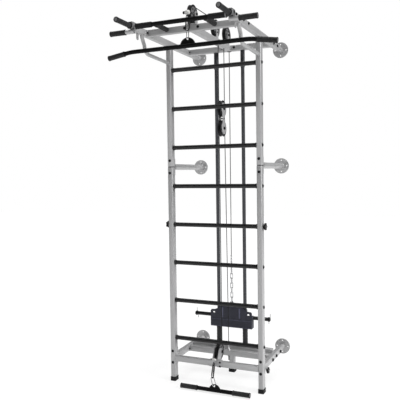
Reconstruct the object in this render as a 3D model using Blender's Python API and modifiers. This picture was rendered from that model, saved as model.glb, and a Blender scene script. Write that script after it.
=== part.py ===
"""Wall multi gym: a ladder of climbing bars with a high and a low cable pull and a weight carriage.

Lengths are metres and +Z is up. The user stands on the -Y side and the wall is on the +Y side.
Places are first written from the plane of the climbing bars; at() moves them so that the origin
lies on the floor under the middle of the whole object.
"""
import math

import bmesh
import bpy
from mathutils import Matrix, Vector

# The ladder: two uprights, eight rungs.
UPRIGHT_X = 0.3025
UPRIGHT_WIDE = 0.032
UPRIGHT_DEEP = 0.046
TUBE_WALL = 0.002
UPRIGHT_JOINT_Z = 1.4146
SPIGOT_REACH = 0.060
RUNG_COUNT = 8
RUNG_PITCH = 0.250
FIRST_RUNG_Z = 0.2886
RUNG_RADIUS = 0.0135
RUNG_COLLAR_RADIUS = 0.0155
KNOB_RUNG = 4

# The rest of the frame.
WALL_Y = 0.490
HANDLE_REACH_Y = -0.655
RAIL_WIDE = 0.030
RAIL_HIGH = 0.038
RAIL_BOTTOM_Z = 2.187
RAIL_FRONT_Y = -0.460
RAIL_REAR_Y = 0.430
FLANGE_RADIUS = 0.0525
FLANGE_THICK = 0.008
FLANGE_HOLE_RADIUS = 0.005
FLANGE_HOLE_CIRCLE = 0.0385
TOP_FLANGE_Z = 2.204
MID_ARM_Z = UPRIGHT_JOINT_Z
LOW_ARM_Z = 0.1545
ARM_TUBE_RADIUS = 0.019
LOW_ARM_HIGH = 0.040
FRONT_BEAM_Y = -0.310
REAR_BEAM_Y = 0.292
BEAM_DEEP = 0.030
PULLEY_BEAM_WIDE = 0.032
PULLEY_BEAM_END = 0.104
CABLE_SLOT = (0.014, 0.016)
FORK_HALF = 0.0255
LOW_FRONT_BEAM_Y = -0.010
LOW_FRONT_BEAM_DEEP = 0.025
LOW_REAR_BEAM_Y = 0.2225
LOW_REAR_BEAM_DEEP = 0.035
GUIDE_BASE_Z = 0.170
FOOT_HIGH = 0.028

# The pull-up bar and its handles.
PULL_BAR_Y = -0.4825
PULL_BAR_Z = 2.2075
PULL_BAR_RADIUS = 0.0125
GRIP_RADIUS = 0.016
INNER_HANDLE_X = 0.150
INNER_HANDLE_TIP_Y = -0.335
OUTER_TUBE_Y = -0.4735
OUTER_TUBE_Z = 2.184
OUTER_TUBE_RADIUS = 0.0127
OUTER_GRIP_START_X = 0.3435
OUTER_GRIP_END_X = 0.447

# Guides and weight carriage.
GUIDE_X = 0.095
GUIDE_RADIUS = 0.012
SLEEVE_TOP_Z = 0.3117
CARRIAGE_BOTTOM_Z = 0.312
CARRIAGE_HALF = 0.150
CARRIAGE_DEEP = 0.044
CARRIAGE_PLATE = 0.006
HORN_RADIUS = 0.0125
HORN_Z = 0.386
HORN_END_X = 0.273

# Pulleys and cable. The cable runs in the middle plane, on a circle of CABLE_TURN round each axle.
WHEEL_RADIUS = 0.055
WHEEL_HALF = 0.011
CABLE_TURN = 0.050
CABLE_RADIUS = 0.0025
AXLE_RADIUS = 0.005
FRONT_WHEEL = (-0.305, 2.285)
REAR_WHEEL_1 = (0.042, 2.285)
REAR_WHEEL_2 = (0.242, 2.285)
BLOCK_UPPER = (0.142, 1.790)
BLOCK_LOWER = (0.142, 1.663)
LOW_WHEEL = (0.050, 0.212)
LAT_EXIT_ANGLE = 140.8
LOW_EXIT_ANGLE = 20.0
SIDE_PLATE_INNER = 0.0125
SIDE_PLATE_OUTER = 0.0155
STRAP_LOBE = 0.0145
STRAP_FOOT = 0.0165
CHAIN_TOP_Z = 0.7137
CHAIN_PITCH = 0.033
CHAIN_LINKS = 7
CHAIN_BAR_RADIUS = 0.0032
CHAIN_OVERLAP = 0.0026
LIFT_EYE_RADIUS = 0.003
CABLE_END_Z = 0.810

# The two hand bars and the hooks that carry them.
LAT_HANG_Y = -0.3755
LAT_STOP_Z = 2.277
LAT_BAR_Z = 2.0925
LAT_HALF = 0.5245
LAT_BEND_X = 0.372
LAT_TIP_DROP = 0.0235
LOW_STOP = (0.0, -0.040, 0.1915)
LOW_BAR_CENTRE = (0.033, -0.119, 0.0195)
LOW_BAR_HALF = 0.232
BAR_RADIUS = 0.0125
STOP_RADIUS = 0.0155
DISC_RADIUS = 0.047
LOW_DISC_RADIUS = 0.038
LOW_HOOK_END = (0.0087, -0.0958, 0.0862)
HANG_GAP = 0.0009
LOW_RING_RISE = 0.0095

GAP = 0.0003
WELD = 0.00005
ROUND_STEPS = 16

# Colour, roughness and metallic value of each kind of surface.
SILVER = ((0.42, 0.42, 0.43), 0.42, 0.55)
BLACK_STEEL = ((0.018, 0.018, 0.020), 0.38, 0.30)
BLACK_RUBBER = ((0.012, 0.012, 0.012), 0.75, 0.0)
BLACK_PLASTIC = ((0.020, 0.020, 0.020), 0.45, 0.0)
DARK_BLUE_STEEL = ((0.030, 0.032, 0.045), 0.50, 0.20)
BRIGHT_STEEL = ((0.62, 0.62, 0.62), 0.25, 1.0)
CABLE_GREY = ((0.16, 0.16, 0.16), 0.40, 0.30)
STOP_GREY = ((0.70, 0.70, 0.68), 0.50, 0.0)

FRAME_SHIFT_Y = -(WALL_Y + HANDLE_REACH_Y) / 2
X_AXIS, Y_AXIS, Z_AXIS = Vector((1, 0, 0)), Vector((0, 1, 0)), Vector((0, 0, 1))


def at(x, y, z):
    """A point given from the plane of the rungs, in the object's own frame."""
    return Vector((x, y + FRAME_SHIFT_Y, z))


def mirror_name(side, words):
    return ("left_" if side < 0 else "right_") + words


def new_collection(name):
    collection = bpy.data.collections.new(name)
    bpy.context.scene.collection.children.link(collection)
    return collection


for old in list(bpy.data.objects):
    bpy.data.objects.remove(old, do_unlink=True)
PARTS = new_collection("wall_multi_gym")
HELPERS = new_collection("cutters_and_unions")

# Which way a flat outline or a turned profile faces: columns are its own X, Y and Z axes.
TURN = {
    "x": Matrix(((0, 0, 1), (1, 0, 0), (0, 1, 0))).to_4x4(),
    "y": Matrix(((1, 0, 0), (0, 0, -1), (0, 1, 0))).to_4x4(),
    "z": Matrix.Identity(4),
}


def link(name, data, matrix):
    item = bpy.data.objects.new(name, data)
    PARTS.objects.link(item)
    item.matrix_world = matrix
    return item


def placed(centre, facing):
    return Matrix.Translation(centre) @ TURN[facing]


def smooth(mesh):
    mesh.shade_smooth()
    mesh.set_sharp_from_angle(angle=math.radians(35))


def as_mesh(item):
    """Make a curve object a mesh object of the same name and place, with its caps welded on."""
    if item.type == "MESH":
        return item
    bpy.context.view_layer.update()
    graph = bpy.context.evaluated_depsgraph_get()
    mesh = bpy.data.meshes.new_from_object(item.evaluated_get(graph))
    shape = bmesh.new()
    shape.from_mesh(mesh)
    bmesh.ops.remove_doubles(shape, verts=shape.verts, dist=WELD)
    bmesh.ops.recalc_face_normals(shape, faces=shape.faces)
    shape.to_mesh(mesh)
    shape.free()
    smooth(mesh)
    name, matrix = item.name, item.matrix_world.copy()
    bpy.data.objects.remove(item)
    return link(name, mesh, matrix)


def combine(item, others, operation):
    """Add or cut the other shapes; they stay in their own collection as hidden helpers."""
    item = as_mesh(item)
    for number, other in enumerate(others):
        other = as_mesh(other)
        PARTS.objects.unlink(other)
        HELPERS.objects.link(other)
        other.hide_render = True
        other.display_type = "WIRE"
        boolean = item.modifiers.new(f"{operation.lower()}_{number}", "BOOLEAN")
        boolean.operation = operation
        boolean.solver = "EXACT"
        boolean.object = other
    return item


def join(item, *others):
    return combine(item, others, "UNION")


def cut(item, *others):
    return combine(item, others, "DIFFERENCE")


def bevelled(item, width, segments=2, angle=40):
    """Round every edge that is sharper than the angle."""
    bevel = item.modifiers.new("rounded_edges", "BEVEL")
    bevel.width = width
    bevel.segments = segments
    bevel.limit_method = "ANGLE"
    bevel.angle_limit = math.radians(angle)
    return item


def block(name, size, centre):
    """A rectangular block."""
    mesh = bpy.data.meshes.new(name)
    shape = bmesh.new()
    bmesh.ops.create_cube(shape, size=1.0, matrix=Matrix.Diagonal((*size, 1.0)))
    shape.to_mesh(mesh)
    shape.free()
    return link(name, mesh, Matrix.Translation(centre))


def flat(name, loops, thickness, centre, facing):
    """A flat piece: closed outlines (holes inside the first one), given its thickness."""
    curve = bpy.data.curves.new(name, "CURVE")
    curve.dimensions = "2D"
    curve.fill_mode = "BOTH"
    curve.extrude = thickness / 2
    for loop in loops:
        spline = curve.splines.new("POLY")
        spline.points.add(len(loop) - 1)
        for point, (u, v) in zip(spline.points, loop):
            point.co = (u, v, 0.0, 1.0)
        spline.use_cyclic_u = True
    return link(name, curve, placed(centre, facing))


def turned(name, profile, centre, facing, steps=ROUND_STEPS, closed=False):
    """A turned piece: (radius, height) points that run down its outer side, spun round its axis."""
    mesh = bpy.data.meshes.new(name)
    count = len(profile)
    edges = [(index, index + 1) for index in range(count - 1)]
    if closed:
        edges.append((count - 1, 0))
    mesh.from_pydata([(radius, 0.0, height) for radius, height in profile], edges, [])
    item = link(name, mesh, placed(centre, facing))
    screw = item.modifiers.new("turned", "SCREW")
    screw.axis = "Z"
    screw.steps = steps
    screw.render_steps = steps
    screw.use_merge_vertices = True
    screw.merge_threshold = 0.0001
    screw.use_smooth_shade = True
    return item


def rod(name, points, radius, rings=2, cyclic=False):
    """A round bar, tube or cable along world points, with closed ends."""
    curve = bpy.data.curves.new(name, "CURVE")
    curve.dimensions = "3D"
    curve.bevel_depth = radius
    curve.bevel_resolution = rings
    curve.use_fill_caps = True
    spline = curve.splines.new("POLY")
    spline.points.add(len(points) - 1)
    for point, place in zip(spline.points, points):
        point.co = (*place, 1.0)
    spline.use_cyclic_u = cyclic
    spline.use_smooth = True
    return link(name, curve, Matrix.Identity(4))


def cylinder(name, radius, start, end, steps=ROUND_STEPS):
    """A plain round bar between two points."""
    mesh = bpy.data.meshes.new(name)
    shape = bmesh.new()
    along = end - start
    turn = along.to_track_quat("Z", "Y").to_matrix().to_4x4()
    bmesh.ops.create_cone(shape, cap_ends=True, segments=steps, radius1=radius, radius2=radius,
                          depth=along.length, matrix=turn)
    shape.to_mesh(mesh)
    shape.free()
    smooth(mesh)
    return link(name, mesh, Matrix.Translation((start + end) / 2))


def arc(centre_u, centre_v, radius, start, end, steps):
    """Points of an arc from one angle to another, in degrees."""
    turn = math.radians(end - start) / steps
    first = math.radians(start)
    return [(centre_u + radius * math.cos(first + turn * step),
             centre_v + radius * math.sin(first + turn * step)) for step in range(steps + 1)]


def ring(centre_u, centre_v, radius, steps):
    return arc(centre_u, centre_v, radius, 0, 360, steps)[:-1]


def rounded_box(wide, high, radius, steps=2):
    """The outline of a rectangle with round corners."""
    points = []
    for number, (sign_u, sign_v) in enumerate(((1, 1), (-1, 1), (-1, -1), (1, -1))):
        centre_u = sign_u * (wide / 2 - radius)
        centre_v = sign_v * (high / 2 - radius)
        points += arc(centre_u, centre_v, radius, 90 * number, 90 * number + 90, steps)
    return points


def beam(name, wide, high, start, end, axis, radius=0.004):
    """A square-section bar with rounded long edges, from start to end along X, Y or Z."""
    middle = (start + end) / 2
    return flat(name, [rounded_box(wide, high, radius)], (end - start).length, middle, axis)


def finish(item, surface):
    """Give a piece its own material."""
    colour, roughness, metallic = surface
    material = bpy.data.materials.new(item.name + "_finish")
    material.use_nodes = True
    shader = material.node_tree.nodes["Principled BSDF"]
    shader.inputs["Base Color"].default_value = (*colour, 1.0)
    shader.inputs["Roughness"].default_value = roughness
    shader.inputs["Metallic"].default_value = metallic
    item.data.materials.clear()
    item.data.materials.append(material)
    return item


def carried_by(empty, *items):
    """Parent the pieces of a moving body to the empty on its joint, without moving them."""
    bpy.context.view_layer.update()
    for item in items:
        item.parent = empty
        item.matrix_parent_inverse = empty.matrix_world.inverted()


def joint_empty(name, place):
    empty = bpy.data.objects.new(name, None)
    empty.empty_display_size = 0.03
    HELPERS.objects.link(empty)
    empty.location = place
    return empty


# The uprights, feet and rungs

def make_uprights():
    """Each upright is two rectangular tubes; a spigot in the lower one enters the upper one."""
    outer = rounded_box(UPRIGHT_WIDE, UPRIGHT_DEEP, 0.005, 3)
    inner = rounded_box(UPRIGHT_WIDE - 2 * TUBE_WALL, UPRIGHT_DEEP - 2 * TUBE_WALL, 0.003, 1)
    bottom, top = FOOT_HIGH - 0.0227, RAIL_BOTTOM_Z - GAP
    spigot_wide = UPRIGHT_WIDE - 2 * TUBE_WALL - 2 * GAP
    spigot_deep = UPRIGHT_DEEP - 2 * TUBE_WALL - 2 * GAP
    for side in (-1, 1):
        x = side * UPRIGHT_X
        lower_top = UPRIGHT_JOINT_Z - GAP / 2
        lower = flat(mirror_name(side, "upright_lower"), [outer, inner], lower_top - bottom,
                     at(x, 0, (lower_top + bottom) / 2), "z")
        spigot = flat("spigot", [rounded_box(spigot_wide, spigot_deep, 0.0032, 1)], SPIGOT_REACH + 0.010,
                      at(x, 0, UPRIGHT_JOINT_Z - 0.005 + SPIGOT_REACH / 2), "z")
        root = block("spigot_root", (spigot_wide + 0.0014, spigot_deep + 0.0014, SPIGOT_REACH),
                     at(x, 0, lower_top - SPIGOT_REACH / 2 - 0.002))
        finish(join(lower, root, spigot), SILVER)
        upper_bottom = UPRIGHT_JOINT_Z + GAP / 2
        upper = flat(mirror_name(side, "upright_upper"), [outer, inner], top - upper_bottom,
                     at(x, 0, (top + upper_bottom) / 2), "z")
        finish(upper, SILVER)


def make_foot(name, x, y, wide, deep, high):
    """A rubber cup that closes the bottom end of a post."""
    cap = bevelled(block(name, (wide + 0.007, deep + 0.007, high), at(x, y, high / 2)), 0.004)
    socket = block(name + "_socket", (wide + 2 * GAP, deep + 2 * GAP, high), at(x, y, high / 2 + 0.005))
    finish(cut(cap, socket), BLACK_RUBBER)


def make_rungs():
    """Round bars between the uprights, with a larger collar at each end."""
    half = UPRIGHT_X - UPRIGHT_WIDE / 2 - GAP
    big, small = RUNG_COLLAR_RADIUS, RUNG_RADIUS
    profile = [(0, half), (big, half), (big, half - 0.012), (small, half - 0.014),
               (small, 0.014 - half), (big, 0.012 - half), (big, -half), (0, -half)]
    for number in range(RUNG_COUNT):
        z = FIRST_RUNG_Z + number * RUNG_PITCH
        rung = turned(f"rung_{number + 1}", profile, at(0, 0, z), "x", 18)
        finish(rung, BLACK_STEEL)


# Wall flanges, rails, arms and beams

def wall_flange(name, x, z):
    """A round plate against the wall, with four holes for its anchors."""
    holes = [ring(FLANGE_HOLE_CIRCLE * u, FLANGE_HOLE_CIRCLE * v, FLANGE_HOLE_RADIUS, 8)
             for u, v in ((1, 0), (0, 1), (-1, 0), (0, -1))]
    return flat(name, [ring(0, 0, FLANGE_RADIUS, 28)] + holes, FLANGE_THICK,
                at(x, WALL_Y - FLANGE_THICK / 2, z), "y")


def make_top_rails():
    """Each rail ends in a wall flange behind and in the tube of the outer handle in front."""
    middle_z = RAIL_BOTTOM_Z + RAIL_HIGH / 2
    for side in (-1, 1):
        x = side * UPRIGHT_X
        rail = beam(mirror_name(side, "top_rail"), RAIL_WIDE, RAIL_HIGH,
                    at(x, RAIL_FRONT_Y, middle_z), at(x, RAIL_REAR_Y, middle_z), "y")
        stub = cylinder("rail_stub", 0.017, at(x, RAIL_REAR_Y - 0.01, TOP_FLANGE_Z),
                        at(x, WALL_Y - FLANGE_THICK / 2, TOP_FLANGE_Z))
        flange = wall_flange("rail_flange", x, TOP_FLANGE_Z)
        outer_tube = cylinder("outer_handle_tube", OUTER_TUBE_RADIUS,
                              at(side * 0.2885, OUTER_TUBE_Y, OUTER_TUBE_Z),
                              at(side * 0.440, OUTER_TUBE_Y, OUTER_TUBE_Z))
        nose = block("rail_nose", (0.026, 0.016, 0.0125), at(x, RAIL_FRONT_Y - 0.005, OUTER_TUBE_Z + 0.0055))
        eye_holes = [ring(0, -0.0055, 0.0036, 8), ring(0, 0.0085, 0.0036, 8)]
        eye = flat("eye_plate", [rounded_box(0.022, 0.040, 0.009, 3)] + eye_holes, 0.004,
                   at(x, -0.415, RAIL_BOTTOM_Z - 0.018), "x")
        finish(join(rail, stub, flange, nose, outer_tube, eye), SILVER)


def upright_plate(name, x, z):
    """The plate that bolts an arm to the back of an upright."""
    return flat(name, [rounded_box(0.030, 0.110, 0.004)], 0.005,
                at(x, UPRIGHT_DEEP / 2 + GAP + 0.0025, z), "y")


def make_wall_arms():
    """Round arms at mid height, and square arms at the foot, hold the uprights off the wall."""
    start_y = UPRIGHT_DEEP / 2 + GAP + 0.001
    for side in (-1, 1):
        x = side * UPRIGHT_X
        wall = at(x, WALL_Y - FLANGE_THICK / 2, MID_ARM_Z)
        arm = cylinder(mirror_name(side, "mid_wall_arm"), ARM_TUBE_RADIUS,
                       at(x, start_y, MID_ARM_Z), wall, 20)
        collar = cylinder("arm_collar", 0.023, at(x, WALL_Y - FLANGE_THICK - 0.016, MID_ARM_Z), wall, 20)
        finish(join(arm, upright_plate("arm_plate", x, MID_ARM_Z), collar,
                    wall_flange("arm_flange", x, MID_ARM_Z)), SILVER)
        low_arm = beam(mirror_name(side, "bottom_arm"), RAIL_WIDE, LOW_ARM_HIGH,
                       at(x, start_y, LOW_ARM_Z), at(x, RAIL_REAR_Y, LOW_ARM_Z), "y")
        stub = cylinder("low_arm_stub", 0.017, at(x, RAIL_REAR_Y - 0.01, LOW_ARM_Z),
                        at(x, WALL_Y - FLANGE_THICK / 2, LOW_ARM_Z))
        finish(join(low_arm, upright_plate("low_arm_plate", x, 0.1625), stub,
                    wall_flange("low_arm_flange", x, LOW_ARM_Z)), SILVER)


def beam_with_end_plates(name, deep, high, y, z, plate_deep):
    """A cross beam between the rails or arms, with a bolted plate at each end."""
    reach = UPRIGHT_X - RAIL_WIDE / 2 - GAP
    item = beam(name, deep, high, at(-reach + 0.001, y, z), at(reach - 0.001, y, z), "x")
    plates = [flat("end_plate", [rounded_box(plate_deep, high, 0.004)], 0.003,
                   at(side * (reach - 0.0015), y, z), "x") for side in (-1, 1)]
    return join(item, *plates)


def wheel_plate(name, centre, lobe, foot_y, foot_z, x):
    """A side plate: a round lobe round an axle, on a foot that reaches down to foot_z."""
    y, z = centre
    top = arc(y, z, lobe, 0, 180, 8)
    points = top + [(foot_y[0], foot_z), (foot_y[1], foot_z)]
    return flat(name, [points], SIDE_PLATE_OUTER - SIDE_PLATE_INNER, at(x, 0, 0), "x")


def plate_x(side):
    return side * (SIDE_PLATE_OUTER + SIDE_PLATE_INNER) / 2


def axle(name, centre, half=SIDE_PLATE_OUTER + 0.004):
    y, z = centre
    return cylinder(name, AXLE_RADIUS, at(-half, y, z), at(half, y, z), 12)


def shouldered_axle(name, centre, half, shoulder):
    """An axle with thicker shoulders that keep its wheel in the middle between wide side plates."""
    wide, clear = 0.0087, WHEEL_HALF + GAP
    upper = [(0, half), (AXLE_RADIUS, half), (AXLE_RADIUS, shoulder), (wide, shoulder), (wide, clear),
             (AXLE_RADIUS, clear)]
    profile = upper + [(radius, -x) for radius, x in reversed(upper)]
    item = turned(name, profile, at(0, *centre), "x", 12)
    item.matrix_world = item.matrix_world @ Matrix.Rotation(math.radians(11), 4, "Z")
    return item


def make_top_beams():
    """Front beam with its pulley fork, rear beam, and the slotted beam that carries the rear pulleys."""
    middle_z = RAIL_BOTTOM_Z + RAIL_HIGH / 2
    top_z = RAIL_BOTTOM_Z + RAIL_HIGH
    front = beam_with_end_plates("front_top_beam", BEAM_DEEP, RAIL_HIGH, FRONT_BEAM_Y, middle_z, 0.050)
    y = FRONT_WHEEL[0]
    fork = [wheel_plate("fork_strap", FRONT_WHEEL, STRAP_LOBE, (y - STRAP_FOOT, y + STRAP_FOOT),
                        top_z + 0.002, side * (FORK_HALF - 0.0008)) for side in (-1, 1)]
    fork.append(shouldered_axle("fork_axle", FRONT_WHEEL, FORK_HALF + 0.004, FORK_HALF - 0.0005))
    base = block("fork_base", (0.060, 0.050, 0.004), at(0, y, top_z + GAP + 0.002))
    seat = block("fork_seat", (0.054, BEAM_DEEP - 0.008, 0.004), at(0, FRONT_BEAM_Y, top_z))
    finish(join(front, seat, base, *fork), SILVER)

    rear = beam_with_end_plates("rear_top_beam", BEAM_DEEP, RAIL_HIGH, REAR_BEAM_Y, middle_z, 0.056)
    cable_hole = cylinder("cable_hole", 0.012, at(0, REAR_BEAM_Y, RAIL_BOTTOM_Z - 0.01),
                          at(0, REAR_BEAM_Y, top_z + 0.01), 12)
    finish(cut(rear, cable_hole), SILVER)

    start_y = FRONT_BEAM_Y + BEAM_DEEP / 2 + GAP
    end_y = REAR_BEAM_Y - BEAM_DEEP / 2 - GAP
    carrier = beam("pulley_beam", PULLEY_BEAM_WIDE, RAIL_HIGH, at(0, start_y, middle_z),
                   at(0, end_y, middle_z), "y", 0.003)
    slots = [block("cable_slot", (*CABLE_SLOT, RAIL_HIGH + 0.02), at(0, y, middle_z))
             for y in (REAR_WHEEL_1[0] + CABLE_TURN, REAR_WHEEL_2[0] - CABLE_TURN)]
    carrier = cut(carrier, *slots)
    pieces = []
    for y, z in (REAR_WHEEL_1, REAR_WHEEL_2):
        pieces += [wheel_plate("pulley_strap", (y, z), STRAP_LOBE, (y - STRAP_FOOT, y + STRAP_FOOT),
                               top_z - 0.001, plate_x(side)) for side in (-1, 1)]
    half = SIDE_PLATE_OUTER + 0.004
    profile = [(0, half), (AXLE_RADIUS, half), (AXLE_RADIUS, -half), (0, -half)]
    for centre in (REAR_WHEEL_1, REAR_WHEEL_2):
        rear_axle = turned("rear_axle", profile, at(0, *centre), "x", 12)
        rear_axle.matrix_world = rear_axle.matrix_world @ Matrix.Rotation(math.radians(11), 4, "Z")
        pieces.append(rear_axle)
    pieces += [block("beam_end", (PULLEY_BEAM_END, 0.003, RAIL_HIGH - 0.008), at(0, y, middle_z))
               for y in (start_y + 0.0025, end_y - 0.0025)]
    finish(join(carrier, *pieces), SILVER)


def make_bottom_frame():
    """Front and rear floor beams; the rear one carries the guides, a leg and the cable's anchor."""
    z = LOW_ARM_Z - 0.0005
    reach = UPRIGHT_X - UPRIGHT_WIDE / 2 - GAP
    front = beam("front_bottom_beam", LOW_FRONT_BEAM_DEEP, 0.038, at(-reach, LOW_FRONT_BEAM_Y, z - 0.001),
                 at(reach, LOW_FRONT_BEAM_Y, z - 0.001), "x")
    finish(as_mesh(front), SILVER)

    rear = beam_with_end_plates("rear_bottom_frame", LOW_REAR_BEAM_DEEP, 0.038, LOW_REAR_BEAM_Y, z, 0.045)
    base = beam("guide_base", 0.036, 0.040, at(-0.2870, REAR_BEAM_Y, GUIDE_BASE_Z),
                at(0.2870, REAR_BEAM_Y, GUIDE_BASE_Z), "x")
    ties = [block("base_tie", (0.040, 0.050, 0.006), at(side * 0.16, 0.257, GUIDE_BASE_Z - 0.012))
            for side in (-1, 1)]
    leg = beam("rear_leg", 0.035, 0.035, at(0, REAR_BEAM_Y, 0.0053), at(0, REAR_BEAM_Y, GUIDE_BASE_Z - 0.01), "z")
    anchor = turned("cable_anchor", [(0, 0.205), (0.004, 0.205), (0.0055, 0.200), (0.0055, 0.180),
                                     (0.009, 0.178), (0.009, 0.170), (0, 0.170)],
                    at(0, LOW_REAR_BEAM_Y, 0), "z", 10)
    anchor_nut = cylinder("anchor_nut", 0.008, at(0, LOW_REAR_BEAM_Y, 0.110),
                          at(0, LOW_REAR_BEAM_Y, 0.140), 6)
    finish(join(rear, base, *ties, leg, anchor, anchor_nut), SILVER)


def make_gussets():
    """Bent round struts from the underside of the rails to the fronts of the uprights."""
    top = (-0.362, RAIL_BOTTOM_Z - GAP)
    foot_y, foot_z = -UPRIGHT_DEEP / 2 - GAP, 2.084
    bend = arc(-0.286, 2.1355, 0.0475, 184, 266, 6)
    for side in (-1, 1):
        x = side * UPRIGHT_X
        points = [at(x, *top), at(x, top[0], top[1] - 0.006)]
        points += [at(x, y, z) for y, z in bend]
        points += [at(x, foot_y - 0.004, foot_z), at(x, foot_y, foot_z)]
        finish(rod(mirror_name(side, "gusset_tube"), points, 0.011, 3), SILVER)


# The pull-up bar

def make_pull_up_bar():
    """The black bar across the front, its padded ends, inner handles and end blocks."""
    inner_x = UPRIGHT_X - 0.0145
    bar = cylinder("pull_up_bar", PULL_BAR_RADIUS, at(-inner_x, PULL_BAR_Y, PULL_BAR_Z),
                   at(inner_x, PULL_BAR_Y, PULL_BAR_Z))
    pieces = []
    for side in (-1, 1):
        grip_profile = [(0, 0.050), (0.0145, 0.050), (GRIP_RADIUS, 0.047), (GRIP_RADIUS, -0.047),
                        (0.0145, -0.050), (0, -0.050)]
        pieces.append(turned("bar_grip", grip_profile, at(side * 0.2225, PULL_BAR_Y, PULL_BAR_Z), "x", 14))
        handle = [(0, 0.147), (0.0125, 0.147), (0.0145, 0.144), (0.0145, 0.136), (0.0125, 0.134),
                  (0.0125, 0), (0, 0)]
        lower_end = at(side * INNER_HANDLE_X, PULL_BAR_Y, PULL_BAR_Z)
        item = turned("inner_handle", handle, lower_end, "y")
        item.matrix_world = placed(lower_end, "y") @ Matrix.Rotation(math.pi, 4, "X")
        pieces.append(item)
        end_block = block("end_block", (0.042, 0.045, 0.0365),
                          at(side * (UPRIGHT_X - 0.0035), PULL_BAR_Y - 0.0003, 2.2157))
        pieces.append(bevelled(end_block, 0.009, 2))
    finish(join(bar, *pieces), BLACK_STEEL)


def make_handles():
    """Forward handles on the end blocks, and sleeves on the tubes at the rail fronts."""
    front_y = PULL_BAR_Y - 0.0228 - GAP
    length = front_y - HANDLE_REACH_Y
    forward = [(0, length), (0.012, length), (0.0155, length - 0.004), (0.0155, length - 0.012),
               (0.0145, length - 0.015), (0.0145, 0.010), (0.013, 0), (0, 0)]
    grip_length = OUTER_GRIP_END_X - OUTER_GRIP_START_X
    bore = OUTER_TUBE_RADIUS + GAP
    sleeve = [(0, grip_length), (0.012, grip_length), (GRIP_RADIUS, grip_length - 0.003),
              (GRIP_RADIUS, 0.002), (0.0145, 0), (bore, 0), (bore, grip_length - 0.006),
              (0, grip_length - 0.006)]
    for side in (-1, 1):
        root = at(side * (UPRIGHT_X - 0.0035), front_y, 2.2095)
        finish(turned(mirror_name(side, "forward_handle"), forward, root, "y"), BLACK_RUBBER)
        start = at(side * OUTER_GRIP_START_X, OUTER_TUBE_Y, OUTER_TUBE_Z)
        grip = turned(mirror_name(side, "outer_grip"), sleeve, start, "x")
        if side < 0:
            grip.matrix_world = placed(start, "x") @ Matrix.Rotation(math.pi, 4, "X")
        finish(grip, BLACK_RUBBER)


def make_star_knobs():
    """Hand knobs on the outer faces of both uprights, level with one rung."""
    z = FIRST_RUNG_Z + (KNOB_RUNG - 1) * RUNG_PITCH
    lobes = 5
    outline = []
    for step in range(6 * lobes):
        angle = 2 * math.pi * step / (6 * lobes)
        radius = 0.0195 + 0.0035 * math.cos(lobes * angle)
        outline.append((radius * math.cos(angle), radius * math.sin(angle)))
    for side in (-1, 1):
        face = UPRIGHT_X + UPRIGHT_WIDE / 2 + GAP
        hub = cylinder(mirror_name(side, "star_knob"), 0.010, at(side * face, 0, z),
                       at(side * (face + 0.010), 0, z), 12)
        star = flat("knob_star", [outline], 0.014, at(side * (face + 0.014), 0, z), "x")
        finish(join(hub, star), BLACK_PLASTIC)


# Guides, sleeves and weight carriage

def make_guides():
    base_z = GUIDE_BASE_Z + 0.020
    top_z = RAIL_BOTTOM_Z - GAP
    for side in (-1, 1):
        profile = [(0, top_z), (0.0145, top_z), (0.0145, 2.078), (GUIDE_RADIUS, 2.072),
                   (GUIDE_RADIUS, base_z + GAP), (0, base_z + GAP)]
        centre = at(side * GUIDE_X, REAR_BEAM_Y, 0)
        finish(turned(mirror_name(side, "guide_rod"), profile, centre, "z"), DARK_BLUE_STEEL)
        bore = GUIDE_RADIUS + GAP
        sleeve = [(bore, SLEEVE_TOP_Z), (0.0165, SLEEVE_TOP_Z), (0.018, SLEEVE_TOP_Z - 0.003),
                  (0.018, base_z + 0.003), (0.0165, base_z + GAP), (bore, base_z + GAP)]
        finish(turned(mirror_name(side, "stop_sleeve"), sleeve, centre, "z", closed=True), BLACK_RUBBER)


def carriage_outline():
    """Half outline of the carriage's side plates, mirrored: a low box, shoulders with lug holes."""
    right = [(CARRIAGE_HALF, CARRIAGE_BOTTOM_Z), (CARRIAGE_HALF, 0.418), (0.143, 0.428),
             (0.118, 0.430), (0.100, 0.438), (0.080, 0.456)]
    left = [(-x, z) for x, z in reversed(right)]
    return right + left


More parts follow.
